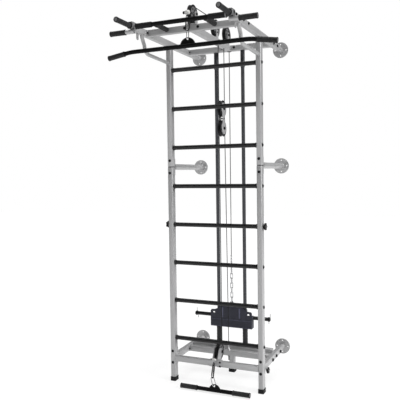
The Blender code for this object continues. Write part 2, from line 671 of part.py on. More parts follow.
def make_carriage():
    """Two outlined plates on a solid lower box, with bushed holes for the guides and two horns."""
    lug_holes = [ring(side * 0.125, 0.4065, 0.0085, 12) for side in (-1, 1)]
    plate_offset = (CARRIAGE_DEEP - CARRIAGE_PLATE) / 2
    plates = [flat(name, [carriage_outline()] + lug_holes, CARRIAGE_PLATE,
                   at(0, REAR_BEAM_Y + offset, 0), "y")
              for name, offset in (("weight_carriage", -plate_offset), ("rear_plate", plate_offset))]
    box = block("lower_box", (2 * CARRIAGE_HALF, CARRIAGE_DEEP + 0.004, 0.3677 - CARRIAGE_BOTTOM_Z),
                at(0, REAR_BEAM_Y, (0.3677 + CARRIAGE_BOTTOM_Z) / 2))
    bevelled(box, 0.003, 2)
    housing = block("middle_housing", (0.124, CARRIAGE_DEEP - 0.002, 0.100), at(0, REAR_BEAM_Y, 0.4050))
    bores = [cylinder("guide_bore", GUIDE_RADIUS + GAP, at(side * GUIDE_X, REAR_BEAM_Y, 0.300),
                      at(side * GUIDE_X, REAR_BEAM_Y, 0.400)) for side in (-1, 1)]
    horns = []
    for side in (-1, 1):
        profile = [(0, 0.123), (0.0105, 0.123), (HORN_RADIUS, 0.121), (HORN_RADIUS, -0.036), (0, -0.036)]
        start = at(side * CARRIAGE_HALF, REAR_BEAM_Y, HORN_Z)
        horn = turned("weight_horn", profile, start, "x")
        if side < 0:
            horn.matrix_world = placed(start, "x") @ Matrix.Rotation(math.pi, 4, "X")
        horns.append(horn)
        horns.append(block("horn_web", (0.012, CARRIAGE_DEEP - 0.002, 0.026),
                           at(side * 0.1445, REAR_BEAM_Y, HORN_Z - 0.003)))
    boss = cylinder("lift_boss", 0.013, at(0, REAR_BEAM_Y, 0.445), at(0, REAR_BEAM_Y, 0.462), 12)
    hung_z = CHAIN_TOP_Z - CHAIN_LINKS * CHAIN_PITCH - CHAIN_OVERLAP
    eye_top_z = hung_z + CHAIN_BAR_RADIUS + LIFT_EYE_RADIUS + 2 * GAP
    eye_curve = [(-0.0095, 0.455)] + arc(0, eye_top_z - 0.0095, 0.0095, 180, 0, 6) + [(0.0095, 0.455)]
    eye = rod("lift_eye", [at(u, REAR_BEAM_Y, v) for u, v in eye_curve], LIFT_EYE_RADIUS, 1)
    item = join(plates[0], plates[1], box, housing, *horns, boss, eye)
    return finish(cut(item, *bores), DARK_BLUE_STEEL)


def chain_link(name, middle_z, turn):
    """One link: a round bar bent to a long ring, alternately facing X and Y."""
    half_wide = 0.0078
    reach = CHAIN_PITCH / 2 + CHAIN_OVERLAP - half_wide
    loop = arc(0, reach, half_wide, 0, 180, 4) + arc(0, -reach, half_wide, 180, 360, 4)
    if turn:
        points = [at(u, REAR_BEAM_Y, middle_z + v) for u, v in loop]
    else:
        points = [at(0, REAR_BEAM_Y + u, middle_z + v) for u, v in loop]
    return rod(name, points, CHAIN_BAR_RADIUS, 1, cyclic=True)


def make_chain():
    """The chain between the cable's end fitting and the carriage, link in link, under tension."""
    bottom_z = CHAIN_TOP_Z - CHAIN_LINKS * CHAIN_PITCH
    links = [chain_link("weight_chain" if number == 0 else "link", bottom_z + CHAIN_PITCH * (number + 0.5),
                        number % 2) for number in range(CHAIN_LINKS)]
    fitting = turned("cable_fitting", [(0, CABLE_END_Z), (0.004, CABLE_END_Z), (0.0055, CABLE_END_Z - 0.004),
                                       (0.0055, 0.745), (0.004, 0.741), (0, 0.741)],
                     at(0, REAR_BEAM_Y, 0), "z", 10)
    shackle_points = arc(0, 0.7225, 0.016, -90, 270, 16)[:-1]
    shackle = rod("shackle", [at(0, REAR_BEAM_Y + 0.62 * u, v + 0.0045) for u, v in shackle_points], 0.003, 1,
                  cyclic=True)
    return finish(join(links[0], *links[1:], fitting, shackle), BRIGHT_STEEL)


# Pulleys, block and brackets

def make_wheel(name, centre):
    """A grooved pulley wheel with a hub, a thin web and a bore for its axle."""
    bore, half = AXLE_RADIUS + GAP, WHEEL_HALF
    groove = CABLE_TURN - CABLE_RADIUS - 0.0012
    profile = [(bore, half), (0.014, half), (0.016, 0.006), (0.042, 0.006), (0.045, half),
               (WHEEL_RADIUS, half), (groove, 0.0028), (groove, -0.0028), (WHEEL_RADIUS, -half),
               (0.045, -half), (0.042, -0.006), (0.016, -0.006), (0.014, -half), (bore, -half)]
    y, z = centre
    return finish(turned(name, profile, at(0, y, z), "x", 18, closed=True), BLACK_PLASTIC)


def make_block():
    """The floating block: two waisted plates, two axles and a spacer between its wheels."""
    upper_y, upper_z = BLOCK_UPPER
    lower_y, lower_z = BLOCK_LOWER
    outline = arc(upper_y, upper_z, 0.033, -38, 218, 12) + arc(lower_y, lower_z, 0.033, 142, 398, 12)
    plates = [flat("pulley_block" if side < 0 else "block_plate", [outline],
                   SIDE_PLATE_OUTER - SIDE_PLATE_INNER, at(plate_x(side), 0, 0), "x") for side in (-1, 1)]
    axles = [axle("block_axle", centre) for centre in (BLOCK_UPPER, BLOCK_LOWER)]
    spacer = axle("block_spacer", (upper_y, (upper_z + lower_z) / 2), 0.015)
    return finish(join(plates[0], plates[1], *axles, spacer), SILVER)


def make_low_bracket():
    """Side plates behind and over the front floor beam, with ears that bolt on its front face."""
    y, z = LOW_WHEEL
    beam_top = LOW_ARM_Z - 0.0015 + 0.019
    beam_front = LOW_FRONT_BEAM_Y - LOW_FRONT_BEAM_DEEP / 2
    beam_rear = LOW_FRONT_BEAM_Y + LOW_FRONT_BEAM_DEEP / 2
    pieces = []
    for side in (-1, 1):
        outline = arc(y, z, 0.040, -60, 150, 9)
        outline += [(beam_front - 0.0035, beam_top + 0.012), (beam_front - 0.0035, beam_top + GAP),
                    (beam_rear + GAP, beam_top + GAP), (beam_rear + GAP, beam_top - 0.022)]
        name = "low_pulley_bracket" if side < 0 else "low_side_plate"
        pieces.append(flat(name, [outline], SIDE_PLATE_OUTER - SIDE_PLATE_INNER,
                           at(plate_x(side), 0, 0), "x"))
        ear_x = side * (SIDE_PLATE_INNER + 0.0145)
        pieces.append(block("ear_top", (0.029, 0.0295, 0.003), at(ear_x, LOW_FRONT_BEAM_Y - 0.0020,
                                                                 beam_top + GAP + 0.0015)))
        pieces.append(block("ear_front", (0.029, 0.0040, 0.042), at(ear_x, beam_front - GAP - 0.0020,
                                                                   beam_top + GAP + 0.003 - 0.021)))
    return finish(join(pieces[0], *pieces[1:], axle("low_axle", LOW_WHEEL)), SILVER)


# The cable, in its straight runs and the turns round the pulleys

def around(centre, start, end, steps=8):
    """Cable points round a wheel, from one angle to another in degrees, from +Y towards +Z."""
    return [at(0, y, z) for y, z in arc(centre[0], centre[1], CABLE_TURN, start, end, steps)]


def make_cables():
    slope = math.radians(LAT_EXIT_ANGLE - 90)
    top_run = [at(0, LAT_HANG_Y, LAT_STOP_Z) + Vector((0, math.cos(slope), math.sin(slope))) * (STOP_RADIUS + GAP)]
    top_run += around(FRONT_WHEEL, LAT_EXIT_ANGLE, 90, 6) + around(REAR_WHEEL_1, 90, 0, 8)
    finish(rod("top_cable_run", top_run, CABLE_RADIUS), CABLE_GREY)
    upper_loop = [at(0, REAR_WHEEL_1[0] + CABLE_TURN, REAR_WHEEL_1[1] - GAP)]
    upper_loop += around(BLOCK_UPPER, 180, 360, 12) + around(REAR_WHEEL_2, 180, 0, 12)
    finish(rod("block_upper_loop", upper_loop, CABLE_RADIUS), CABLE_GREY)
    strand_y = REAR_WHEEL_2[0] + CABLE_TURN
    strand = [at(0, strand_y, REAR_WHEEL_2[1] - GAP), at(0, strand_y, CABLE_END_Z + GAP)]
    finish(rod("weight_strand", strand, CABLE_RADIUS), CABLE_GREY)
    low_top = at(0, LOW_WHEEL[0] + CABLE_TURN, LOW_WHEEL[1] + GAP)
    lower_loop = [low_top] + around(BLOCK_LOWER, 180, 0, 12)
    lower_loop += [at(0, LOW_REAR_BEAM_Y, 0.205 + GAP)]
    finish(rod("block_lower_loop", lower_loop, CABLE_RADIUS), CABLE_GREY)
    wrap = around(LOW_WHEEL, 0, -90 - LOW_EXIT_ANGLE, 9)
    leave = math.radians(LOW_EXIT_ANGLE)
    stop = Vector(at(*LOW_STOP)) + Vector((0, math.cos(leave), -math.sin(leave))) * (STOP_RADIUS + GAP)
    finish(rod("low_cable_wrap", wrap + [stop], CABLE_RADIUS), CABLE_GREY)


# Cable stops, hooks and hand bars

def hanging_frame(top, bottom, plane_angle):
    """Axes for a hook that hangs from top to bottom: origin at top, Z up it, X in its plane."""
    up = (top - bottom).normalized()
    angle = math.radians(plane_angle)
    across = Vector((math.cos(angle), math.sin(angle), 0))
    across = (across - up * across.dot(up)).normalized()
    matrix = Matrix((across, up.cross(across), up)).transposed().to_4x4()
    return Matrix.Translation(top) @ matrix


def wire_loop(name, frame, half_wide, top, bottom, radius, rings, squeeze=1.0):
    """A closed loop of round bar: a long ring whose lower end may be wider than its upper end."""
    upper = half_wide * squeeze
    loop = arc(0, top - upper, upper, 0, 180, 6) + arc(0, bottom + half_wide, half_wide, 180, 360, 6)
    points = [frame @ Vector((u, 0.0, v)) for u, v in loop]
    return rod(name, points, radius, rings, cyclic=True)


def make_stop(name, centre, hang):
    """A ball stop on the cable's end, with the eye that the hook goes through."""
    ball = turned(name, [(radius, height) for radius, height in arc(0, 0, STOP_RADIUS, 90, -90, 8)],
                  centre, "z", 14)
    eye = wire_loop("stop_eye", hang, 0.0075, -STOP_RADIUS + 0.003, -STOP_RADIUS - 0.0190, 0.0022, 1)
    return finish(join(ball, eye), STOP_GREY)


def make_hook(name, hang, top, bottom):
    """A snap hook: the bent body and, along one side, its gate with a hinge barrel."""
    body = wire_loop(name, hang, 0.0190, top, bottom, 0.0040, 2, 0.72)
    gate_side = 0.0172
    gate = rod("hook_gate", [hang @ Vector((gate_side, 0, top - 0.026)),
                             hang @ Vector((gate_side + 0.0012, 0, bottom + 0.028))], 0.0050, 2)
    return finish(join(body, gate), BLACK_STEEL)


def make_lat_set():
    """Ball stop, hook and lat bar, one under the other on the front cable."""
    hang_top = at(0, LAT_HANG_Y, LAT_STOP_Z)
    straight_down = at(0, LAT_HANG_Y, LAT_STOP_Z - 1)
    cross, along = hanging_frame(hang_top, straight_down, 60), hanging_frame(hang_top, straight_down, -32)
    stop = make_stop("lat_cable_stop", hang_top, cross)
    hook_top = -STOP_RADIUS - 0.0190 + 0.0022 + 0.0040 + HANG_GAP
    hook_bottom = hook_top - 0.084
    hook = make_hook("lat_hook", along, hook_top, hook_bottom)
    ring_top = hook_bottom + 0.0040 + 0.0025 + HANG_GAP
    hole_z = LAT_BAR_Z + 0.0365
    ring_bottom = hole_z - 0.0048 - LAT_STOP_Z
    link_ring = wire_loop("bar_ring", cross, 0.0110, ring_top, ring_bottom, 0.0025, 1)
    grip_start, tip_z = LAT_HALF - 0.112, LAT_BAR_Z - LAT_TIP_DROP
    tilt = LAT_TIP_DROP / (LAT_HALF - LAT_BEND_X)
    bend = [(-LAT_HALF, tip_z), (-LAT_BEND_X - 0.03, LAT_BAR_Z - 0.03 * tilt), (-LAT_BEND_X, LAT_BAR_Z - 0.002),
            (-LAT_BEND_X + 0.03, LAT_BAR_Z)]
    path = bend + [(-x, z) for x, z in reversed(bend)]
    bar = rod("lat_bar", [at(x, LAT_HANG_Y, z) for x, z in path], BAR_RADIUS, 3)
    pieces = []
    for side in (-1, 1):
        start_z = LAT_BAR_Z - (grip_start - LAT_BEND_X) * tilt
        pieces.append(cylinder("lat_grip", GRIP_RADIUS, at(side * grip_start, LAT_HANG_Y, start_z),
                               at(side * (LAT_HALF + 0.001), LAT_HANG_Y, tip_z)))
    disc = flat("lat_disc", [arc(0, 0, DISC_RADIUS, 0, 180, 14), ring(0, hole_z - LAT_BAR_Z, 0.006, 10)],
                0.006, at(0, LAT_HANG_Y, LAT_BAR_Z), "y")
    bar = finish(join(bar, *pieces, disc, link_ring), BLACK_STEEL)
    return stop, hook, bar


def make_low_set():
    """Ball stop, hook and short bar of the low pull; the bar rests just off the floor."""
    hang_top, hook_end = at(*LOW_STOP), at(*LOW_HOOK_END)
    centre = at(*LOW_BAR_CENTRE)
    hole = centre + Vector((0, 0, 0.0270))
    cross, along = hanging_frame(hang_top, hook_end, 54), hanging_frame(hang_top, hook_end, -36)
    stop = make_stop("low_cable_stop", hang_top, cross)
    hook_top = -STOP_RADIUS - 0.0190 + 0.0022 + 0.0040 + HANG_GAP
    hook = make_hook("low_hook", along, hook_top, -(hang_top - hook_end).length)
    link_ring = wire_loop("bar_ring", hanging_frame(hook_end, hole, 54), 0.0125, LOW_RING_RISE,
                          -(hook_end - hole).length - 0.0040, 0.0025, 1, 0.8)
    half = Vector((LOW_BAR_HALF, 0, 0))
    bar = cylinder("low_bar", BAR_RADIUS, centre - half, centre + half)
    grips = [cylinder("low_grip", GRIP_RADIUS, centre + side * half * 0.51, centre + side * half * 1.004)
             for side in (-1, 1)]
    disc = flat("low_disc", [arc(0, 0, LOW_DISC_RADIUS, 0, 180, 14), ring(0, 0.0270, 0.006, 10)],
                0.006, centre, "y")
    bar = finish(join(bar, *grips, disc, link_ring), BLACK_STEEL)
    return stop, hook, bar


def main():
    make_uprights()
    for side in (-1, 1):
        make_foot(mirror_name(side, "foot"), side * UPRIGHT_X, 0, UPRIGHT_WIDE, UPRIGHT_DEEP, FOOT_HIGH)
    make_foot("rear_foot", 0, REAR_BEAM_Y, 0.035, 0.035, 0.026)
    make_rungs()
    make_top_rails()
    make_wall_arms()
    make_top_beams()
    make_bottom_frame()
    make_gussets()
    make_pull_up_bar()
    make_handles()
    make_star_knobs()
    make_guides()
    make_wheel("front_top_wheel", FRONT_WHEEL)
    make_wheel("rear_top_wheel_1", REAR_WHEEL_1)
    make_wheel("rear_top_wheel_2", REAR_WHEEL_2)
    make_wheel("low_wheel", LOW_WHEEL)
    make_low_bracket()
    make_cables()
    carried_by(joint_empty("lift_axis", at(0, REAR_BEAM_Y, CABLE_END_Z)), make_carriage(), make_chain())
    carried_by(joint_empty("block_axis", at(0, *BLOCK_LOWER)), make_block(),
               make_wheel("block_upper_wheel", BLOCK_UPPER), make_wheel("block_lower_wheel", BLOCK_LOWER))
    carried_by(joint_empty("lat_pull_axis", at(0, LAT_HANG_Y, LAT_STOP_Z)), *make_lat_set())
    carried_by(joint_empty("low_pull_axis", at(*LOW_STOP)), *make_low_set())


main()
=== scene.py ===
"""Looks of a wall-mounted multi gym: ladder with rungs, pull-up bar, two cable pulls, weight carriage.

Lengths are metres and +Z is up. The wall is on the +Y side. Every new piece is a set of point grids
worked out with numpy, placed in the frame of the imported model.
"""
import math

import bmesh
import bpy
import numpy as np
from mathutils import Matrix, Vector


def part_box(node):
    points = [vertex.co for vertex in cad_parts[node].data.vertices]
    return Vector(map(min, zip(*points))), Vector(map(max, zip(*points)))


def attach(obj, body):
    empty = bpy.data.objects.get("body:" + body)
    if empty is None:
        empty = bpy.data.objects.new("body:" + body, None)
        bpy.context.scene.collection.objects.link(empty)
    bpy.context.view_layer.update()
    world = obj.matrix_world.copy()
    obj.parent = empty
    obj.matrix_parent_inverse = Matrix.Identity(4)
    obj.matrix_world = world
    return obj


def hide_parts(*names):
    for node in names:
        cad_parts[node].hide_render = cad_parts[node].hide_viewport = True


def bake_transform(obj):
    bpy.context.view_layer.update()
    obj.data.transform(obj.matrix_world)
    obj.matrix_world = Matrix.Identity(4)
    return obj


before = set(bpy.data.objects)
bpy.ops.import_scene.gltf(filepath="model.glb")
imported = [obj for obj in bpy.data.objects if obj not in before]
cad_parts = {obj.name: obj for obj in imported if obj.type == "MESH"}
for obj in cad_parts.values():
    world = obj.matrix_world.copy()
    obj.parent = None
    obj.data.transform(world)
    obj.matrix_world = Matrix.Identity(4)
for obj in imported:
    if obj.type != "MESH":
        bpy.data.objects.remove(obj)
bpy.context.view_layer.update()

bl_info = {
    "name": "Wall multi gym looks",
    "version": (1, 0, 0),
    "blender": (4, 5, 0),
    "location": "3D View > Sidebar > Multi gym",
    "description": "Builds the finished pieces, fasteners, cables and finishes of a wall multi gym",
    "category": "Add Mesh",
}

SIDES = (("left", -1), ("right", 1))


def middle(node):
    """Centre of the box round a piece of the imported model."""
    low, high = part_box(node)
    return (np.array(low) + np.array(high)) / 2


# Planes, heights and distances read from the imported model
LADDER_Y = middle("rung_1")[1]
UPRIGHT_X = middle("right_upright_lower")[0]
WALL_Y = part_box("left_mid_wall_arm")[1][1]
FIRST_RUNG_Z = middle("rung_1")[2]
RUNG_PITCH = middle("rung_2")[2] - FIRST_RUNG_Z
REAR_Y = middle("left_guide_rod")[1]
GUIDE_X = middle("right_guide_rod")[0]
LAT_Y = middle("lat_hook")[1]
OUTER_TUBE_Z = middle("right_outer_grip")[2]
PULL_Y, PULL_Z = -0.4825, middle("right_forward_handle")[2] - 0.0020

# The cable train in the middle plane: each wheel's distance behind the rungs and height
FRONT_WHEEL, REAR_WHEEL_1, REAR_WHEEL_2 = (-0.305, 2.285), (0.042, 2.285), (0.242, 2.285)
BLOCK_UPPER, BLOCK_LOWER, LOW_WHEEL = (0.142, 1.790), (0.142, 1.663), (0.050, 0.212)
CABLE_TURN, CABLE_RADIUS = 0.050, 0.0025
LAT_STOP = np.array((0.0, -0.3755, 2.277))
LOW_STOP = np.array((0.0, -0.040, 0.1915))
LOW_HOOK_END = np.array((0.0087, -0.0958, 0.0862))
LOW_CENTRE = np.array((0.033, -0.119, 0.0195))
LOW_STOP_DROP = 0.0073
LAT_HOOK_DROP = 0.1000
HOOK_TOP = -0.0274
REAR_STRAP, FRONT_STRAP, STRAP_THICK = 0.0125, 0.0232, 0.003

# Tubes, beams and wall plates
UPRIGHT_WIDE, UPRIGHT_DEEP, SPIGOT_GAP = 0.032, 0.046, 0.0024
RAIL_WIDE, RAIL_HIGH, RAIL_Z, RAIL_STUB_Z = 0.030, 0.038, 2.206, 2.204
BEAM_HALF, BEAM_PLATE = 0.2872, 0.003
FRONT_BEAM_Y, REAR_BEAM_Y, ANCHOR_Y, FLOOR_BEAM_Z = -0.310, 0.292, 0.2225, 0.154
FLANGE_THICK = 0.008
BLOCK_X, BLOCK_RISE = 0.299, 0.0082
HORN_Z = 0.386
UPRIGHT_FACE, RAIL_FACE = UPRIGHT_X + UPRIGHT_WIDE / 2, UPRIGHT_X + RAIL_WIDE / 2
SHARP_ANGLE = 38

# ---- Sizes and colours that a user may change


class GYM_PG_finishes(bpy.types.PropertyGroup):
    """Colours of the finishes."""
    silver: bpy.props.FloatVectorProperty(
        name="Silver paint", description="Colour of the painted frame tubes", subtype="COLOR",
        default=(0.47, 0.47, 0.475), min=0, max=1)
    black: bpy.props.FloatVectorProperty(
        name="Black paint", description="Colour of the rungs, bars and hooks", subtype="COLOR",
        default=(0.0035, 0.0035, 0.0042), min=0, max=1)
    carriage: bpy.props.FloatVectorProperty(
        name="Carriage paint", description="Colour of the weight carriage", subtype="COLOR",
        default=(0.026, 0.027, 0.043), min=0, max=1)
    rubber: bpy.props.FloatVectorProperty(
        name="Grip rubber", description="Colour of the grips, handles and feet", subtype="COLOR",
        default=(0.010, 0.010, 0.011), min=0, max=1)


class GYM_PG_details(bpy.types.PropertyGroup):
    """Sizes of the small pieces."""
    bolt: bpy.props.FloatProperty(
        name="Bolt scale", description="Factor on the size of every bolt", default=1.0, min=0.7, max=1.2)
    steps: bpy.props.IntProperty(
        name="Round steps", description="Number of faces round a turned piece", default=40, min=16, max=96)
    grain: bpy.props.FloatProperty(
        name="Paint grain", description="Strength of the grain in the painted surfaces", subtype="FACTOR",
        default=0.35, min=0, max=1)


class GYM_PG_stage(bpy.types.PropertyGroup):
    """Lamps and camera."""
    lens: bpy.props.FloatProperty(
        name="Lens", description="Focal length of the camera in millimetres", default=50.6, min=20, max=120)
    key: bpy.props.FloatProperty(
        name="Key light", description="Strength of the wide light from the right", default=2.2, min=0)
    top: bpy.props.FloatProperty(
        name="Top light", description="Strength of the wide light from above", default=2.3, min=0)
    fill: bpy.props.FloatProperty(
        name="Front light", description="Strength of the light in front, on the left", default=0.24, min=0)
    world: bpy.props.FloatProperty(
        name="Room light", description="Strength of the even light from all sides", subtype="FACTOR",
        default=0.10, min=0, max=2)


# ---- Shader nodes, written as expressions


class Socket:
    """One output socket; arithmetic on it adds Math nodes."""

    def __init__(self, finish, socket):
        self.finish = finish
        self.socket = socket

    def _math(self, operation, first, second=None):
        values = {0: first} if second is None else {0: first, 1: second}
        return self.finish.node("ShaderNodeMath", {"operation": operation}, values)

    def __add__(self, other):
        return self._math("ADD", self, other)

    def __sub__(self, other):
        return self._math("SUBTRACT", self, other)

    def __rsub__(self, other):
        return self._math("SUBTRACT", other, self)

    def __mul__(self, other):
        return self._math("MULTIPLY", self, other)

    def __truediv__(self, other):
        return self._math("DIVIDE", self, other)

    def __rtruediv__(self, other):
        return self._math("DIVIDE", other, self)

    __radd__ = __add__
    __rmul__ = __mul__

    def sine(self):
        return self._math("SINE", self)

    def power(self, other):
        return self._math("POWER", self, other)


class Finish:
    """A material; node() adds any node, mix() blends two colours, and bump() gives a normal."""

    def __init__(self, name):
        self.material = bpy.data.materials.new(name)
        self.material.use_nodes = True
        self.tree = self.material.node_tree
        self.shader = self.tree.nodes["Principled BSDF"]

    def node(self, kind, settings=None, values=None, output=0):
        node = self.tree.nodes.new(kind)
        for key, value in (settings or {}).items():
            setattr(node, key, value)
        for key, value in (values or {}).items():
            self.feed(node.inputs[key], value)
        return Socket(self, node.outputs[output])

    def feed(self, target, value):
        if isinstance(value, Socket):
            self.tree.links.new(value.socket, target)
        else:
            target.default_value = value

    def mix(self, share, first, second):
        return self.node("ShaderNodeMix", {"data_type": "RGBA"}, {0: share, 6: first, 7: second}, 2)

    def place(self, scale=(1, 1, 1)):
        """Object coordinates in metres, stretched by a scale."""
        coords = self.node("ShaderNodeTexCoord", output="Object")
        return self.node("ShaderNodeMapping", None, {"Vector": coords, "Scale": scale})

    def noise(self, scale, detail=2.0, rough=0.5, stretch=(1, 1, 1)):
        return self.node("ShaderNodeTexNoise", None, {"Vector": self.place(stretch), "Scale": scale,
                                                      "Detail": detail, "Roughness": rough})

    def cells(self, scale, feature="F1"):
        return self.node("ShaderNodeTexVoronoi", {"feature": feature},
                         {"Vector": self.place(), "Scale": scale})

    def run(self):
        """The piece's own map: share of a turn, and metres along the piece."""
        own_map = self.node("ShaderNodeUVMap", {"uv_map": "run"})
        around = self.node("ShaderNodeSeparateXYZ", None, {"Vector": own_map})
        return around, Socket(self, around.socket.node.outputs[1])

    def bump(self, height, strength, distance):
        return self.node("ShaderNodeBump", None, {"Height": height, "Strength": strength,
                                                  "Distance": distance})

    def done(self, **sockets):
        for key, value in sockets.items():
            self.feed(self.shader.inputs[key.replace("_", " ")], value)
        return self.material


def shade(colour, factor):
    """A colour made lighter or darker, with full cover."""
    return (*(min(1.0, value * factor) for value in colour), 1.0)


def painted(name, colour, grain, rough, metallic, flake=0.0, gloss=0.5):
    """Powder coat: fine orange-peel grain, slow change of tone, and rubbed dust in the roughness."""
    finish = Finish(name)
    slow = finish.noise(7.0, 3.0)
    fine = finish.noise(900.0, 3.0, 0.6)
    specks = finish.cells(1900.0)
    tone = slow * 0.7 + specks * flake + fine * 0.15
    base = finish.mix(tone, shade(colour, 0.90), shade(colour, 1.10))
    return finish.done(Base_Color=base, Roughness=rough - 0.06 + slow * 0.12 + fine * 0.05,
                       Metallic=metallic, Specular_IOR_Level=gloss, Normal=finish.bump(fine, grain, 0.0004))


def hammered(name, colour):
    """Blue-black paint over cast grain: soft cells that stand proud, painted lighter on their tops and darker
    in the lows as painted highlight and shade.
    """
    finish = Finish(name)
    cells = finish.cells(210.0, "SMOOTH_F1")
    fine = finish.noise(700.0, 3.0)
    slow = finish.noise(9.0, 2.0)
    # Cell tops painted 1.5 times lighter and the lows between the cells darker: painted highlight and shade.
    base = finish.mix(cells * 0.8 + slow * 0.4, shade(colour, 1.5), shade(colour, 0.75))
    return finish.done(Base_Color=base, Roughness=0.40 + fine * 0.14, Metallic=0.15,
                       Normal=finish.bump(cells * -0.7 + fine * 0.25, 0.35, 0.0006))


def rubbery(name, colour, pores, depth, rough=0.72, gloss=0.25):
    """Foam or rubber: small pores and a dry, uneven surface."""
    finish = Finish(name)
    pore = finish.cells(pores)
    skin = finish.noise(260.0, 4.0, 0.65)
    slow = finish.noise(14.0, 2.0)
    base = finish.mix(skin * 0.6 + slow * 0.5, shade(colour, 0.75), shade(colour, 1.7))
    return finish.done(Base_Color=base, Roughness=rough - 0.08 + skin * 0.2, Specular_IOR_Level=gloss,
                       Normal=finish.bump(pore * 0.6 + skin * 0.7, depth, 0.0007))


def moulded(name, colour, rough=0.42, gloss=0.5):
    """Moulded plastic: faint spark-eroded grain and slight waves."""
    finish = Finish(name)
    grain = finish.noise(1300.0, 2.0)
    waves = finish.noise(30.0, 2.0)
    base = finish.mix(waves, shade(colour, 0.9), shade(colour, 1.15))
    return finish.done(Base_Color=base, Roughness=rough - 0.05 + grain * 0.12, Specular_IOR_Level=gloss,
                       Normal=finish.bump(grain * 0.4 + waves, 0.16, 0.0004))


def plated(name, colour, rough, brushed=0.3):
    """Zinc or chrome: bright metal, fine scratches along Z, and clouds in the plating."""
    finish = Finish(name)
    clouds = finish.noise(55.0, 3.0)
    scratches = finish.noise(420.0, 2.0, 0.6, (1, 1, 0.12))
    base = finish.mix(clouds, shade(colour, 0.86), shade(colour, 1.08))
    return finish.done(Base_Color=base, Roughness=rough + clouds * 0.1 + scratches * 0.08, Metallic=1.0,
                       Normal=finish.bump(scratches, brushed, 0.0002))


def stranded(name, colour, strands=7, lay=0.032):
    """Coated wire rope: strands that wind round the cable show as slanted ridges under a clear coat, their
    tops painted lighter and the grooves darker as painted highlight and shade.
    """
    finish = Finish(name)
    around, along = finish.run()
    turn = (around * strands + along / lay) * (2 * math.pi)
    ridge = (turn.sine() + 1) * 0.5
    # Ridges at 1.5 and grooves at 0.45 of the colour: painted highlight and shade.
    base = finish.mix(ridge, shade(colour, 0.45), shade(colour, 1.5))
    return finish.done(Base_Color=base, Roughness=0.48 + ridge * 0.12, Specular_IOR_Level=0.2,
                       Normal=finish.bump(ridge, 0.5, 0.0004))


def ribbed(name, colour, ribs, rough=0.7):
    """Grip rubber with rings round it: a wave along the piece, over a fine dry grain."""
    finish = Finish(name)
    _, along = finish.run()
    wave = ((along * (2 * math.pi / ribs)).sine() + 1) * 0.5
    skin = finish.noise(420.0, 3.0, 0.6)
    dust = finish.noise(75.0, 3.0, 0.6)
    # Dust patches lighten the ridge colour at random; the ridges lighter than the grooves are a painted
    # highlight.
    ridge_dust_and_highlight = finish.mix(dust.power(3.0), shade(colour, 0.8), (0.13, 0.13, 0.13, 1))
    # Grooves painted at 0.3 of the rubber colour: painted shade in the recesses between the ribs.
    base = finish.mix(wave * 0.6 + skin * 0.4, shade(colour, 0.3), ridge_dust_and_highlight)
    return finish.done(Base_Color=base, Roughness=rough - 0.06 + skin * 0.16, Specular_IOR_Level=0.35,
                       Normal=finish.bump(wave.power(0.6) + skin * 0.3, 0.55, 0.0008))


FINISHES = {}


def make_finishes():
    """Fills the table of finishes: for each its material and the slot it belongs to."""
    colours = bpy.context.scene.gym_finishes
    grain = bpy.context.scene.gym_details.grain
    silver, black = tuple(colours.silver), tuple(colours.black)
    carriage, rubber = tuple(colours.carriage), tuple(colours.rubber)
    FINISHES.update({
        "silver": (painted("silver_powder_coat", silver, grain, 0.40, 0.35, 0.35), "silver_paint"),
        "black": (painted("black_powder_coat", black, grain, 0.32, 0.0, 0.0, 0.40), "black_paint"),
        "bar": (painted("black_bar_coat", shade(black, 0.6)[:3], grain, 0.42, 0.0, 0.0, 0.12),
                "black_paint"),
        "carriage": (hammered("blue_black_hammered", carriage), "dark_blue_paint"),
        # The edge finish is the carriage paint made 3.6 times lighter: a painted highlight on the ribs and
        # the box's edges.
        "edge": (painted("painted_highlight_carriage_edge", shade(carriage, 3.6)[:3], grain, 0.30, 0.3),
                 "dark_blue_paint"),
        "guide": (plated("blue_black_guide", (0.085, 0.087, 0.094), 0.33, 0.12), "dark_blue_paint"),
        "rubber": (rubbery("black_rubber", rubber, 900.0, 0.35), "black_rubber"),
        "foam": (rubbery("black_foam", rubber, 420.0, 0.6, 0.82), "black_rubber"),
        "ribbed": (ribbed("ribbed_grip", rubber, 0.0042, 0.6), "black_rubber"),
        # A 2.4 times lighter copy of the grip rubber: painted light on the forward sleeves, which face up
        # into the light.
        "lit_grip": (ribbed("lit_copy_ribbed_grip", shade(rubber, 2.4)[:3], 0.0042), "black_rubber"),
        "wheel": (moulded("black_nylon", (0.011, 0.011, 0.012), 0.42, 0.25), "black_plastic"),
        "stop": (moulded("light_grey_plastic", (0.66, 0.66, 0.64), 0.45), "stop_plastic"),
        "chrome": (plated("bright_zinc", (0.66, 0.66, 0.67), 0.16), "zinc_plate"),
        "zinc": (plated("dull_zinc", (0.50, 0.50, 0.51), 0.32), "zinc_plate"),
        "cap": (moulded("grey_end_cap", (0.16, 0.16, 0.162), 0.5), "black_plastic"),
        "block": (painted("grey_cast_block", (0.20, 0.20, 0.205), grain, 0.36, 0.3), "black_plastic"),
        # The wheels' webs are painted mid grey: a painted reflection of the bright light on the black wheels'
        # sides.
        "web": (moulded("painted_reflection_wheel_web", (0.150, 0.150, 0.155), 0.40, 0.3), "black_plastic"),
        "bolt": (plated("blackened_bolt", (0.030, 0.030, 0.032), 0.38), "black_paint"),
        "cable": (stranded("coated_wire_rope", (0.012, 0.012, 0.013)), "cable_coat"),
        "sleeve": (moulded("glossy_rubber_sleeve", (0.013, 0.013, 0.015), 0.30), "black_rubber"),
    })


# ---- Outlines, rings and the shapes made of them


def circle(radius, steps, start=0.0):
    """Radius times cosine and sine of equal angles."""
    angle = start + np.arange(steps) * (2 * np.pi / steps)
    return radius * np.column_stack((np.cos(angle), np.sin(angle)))


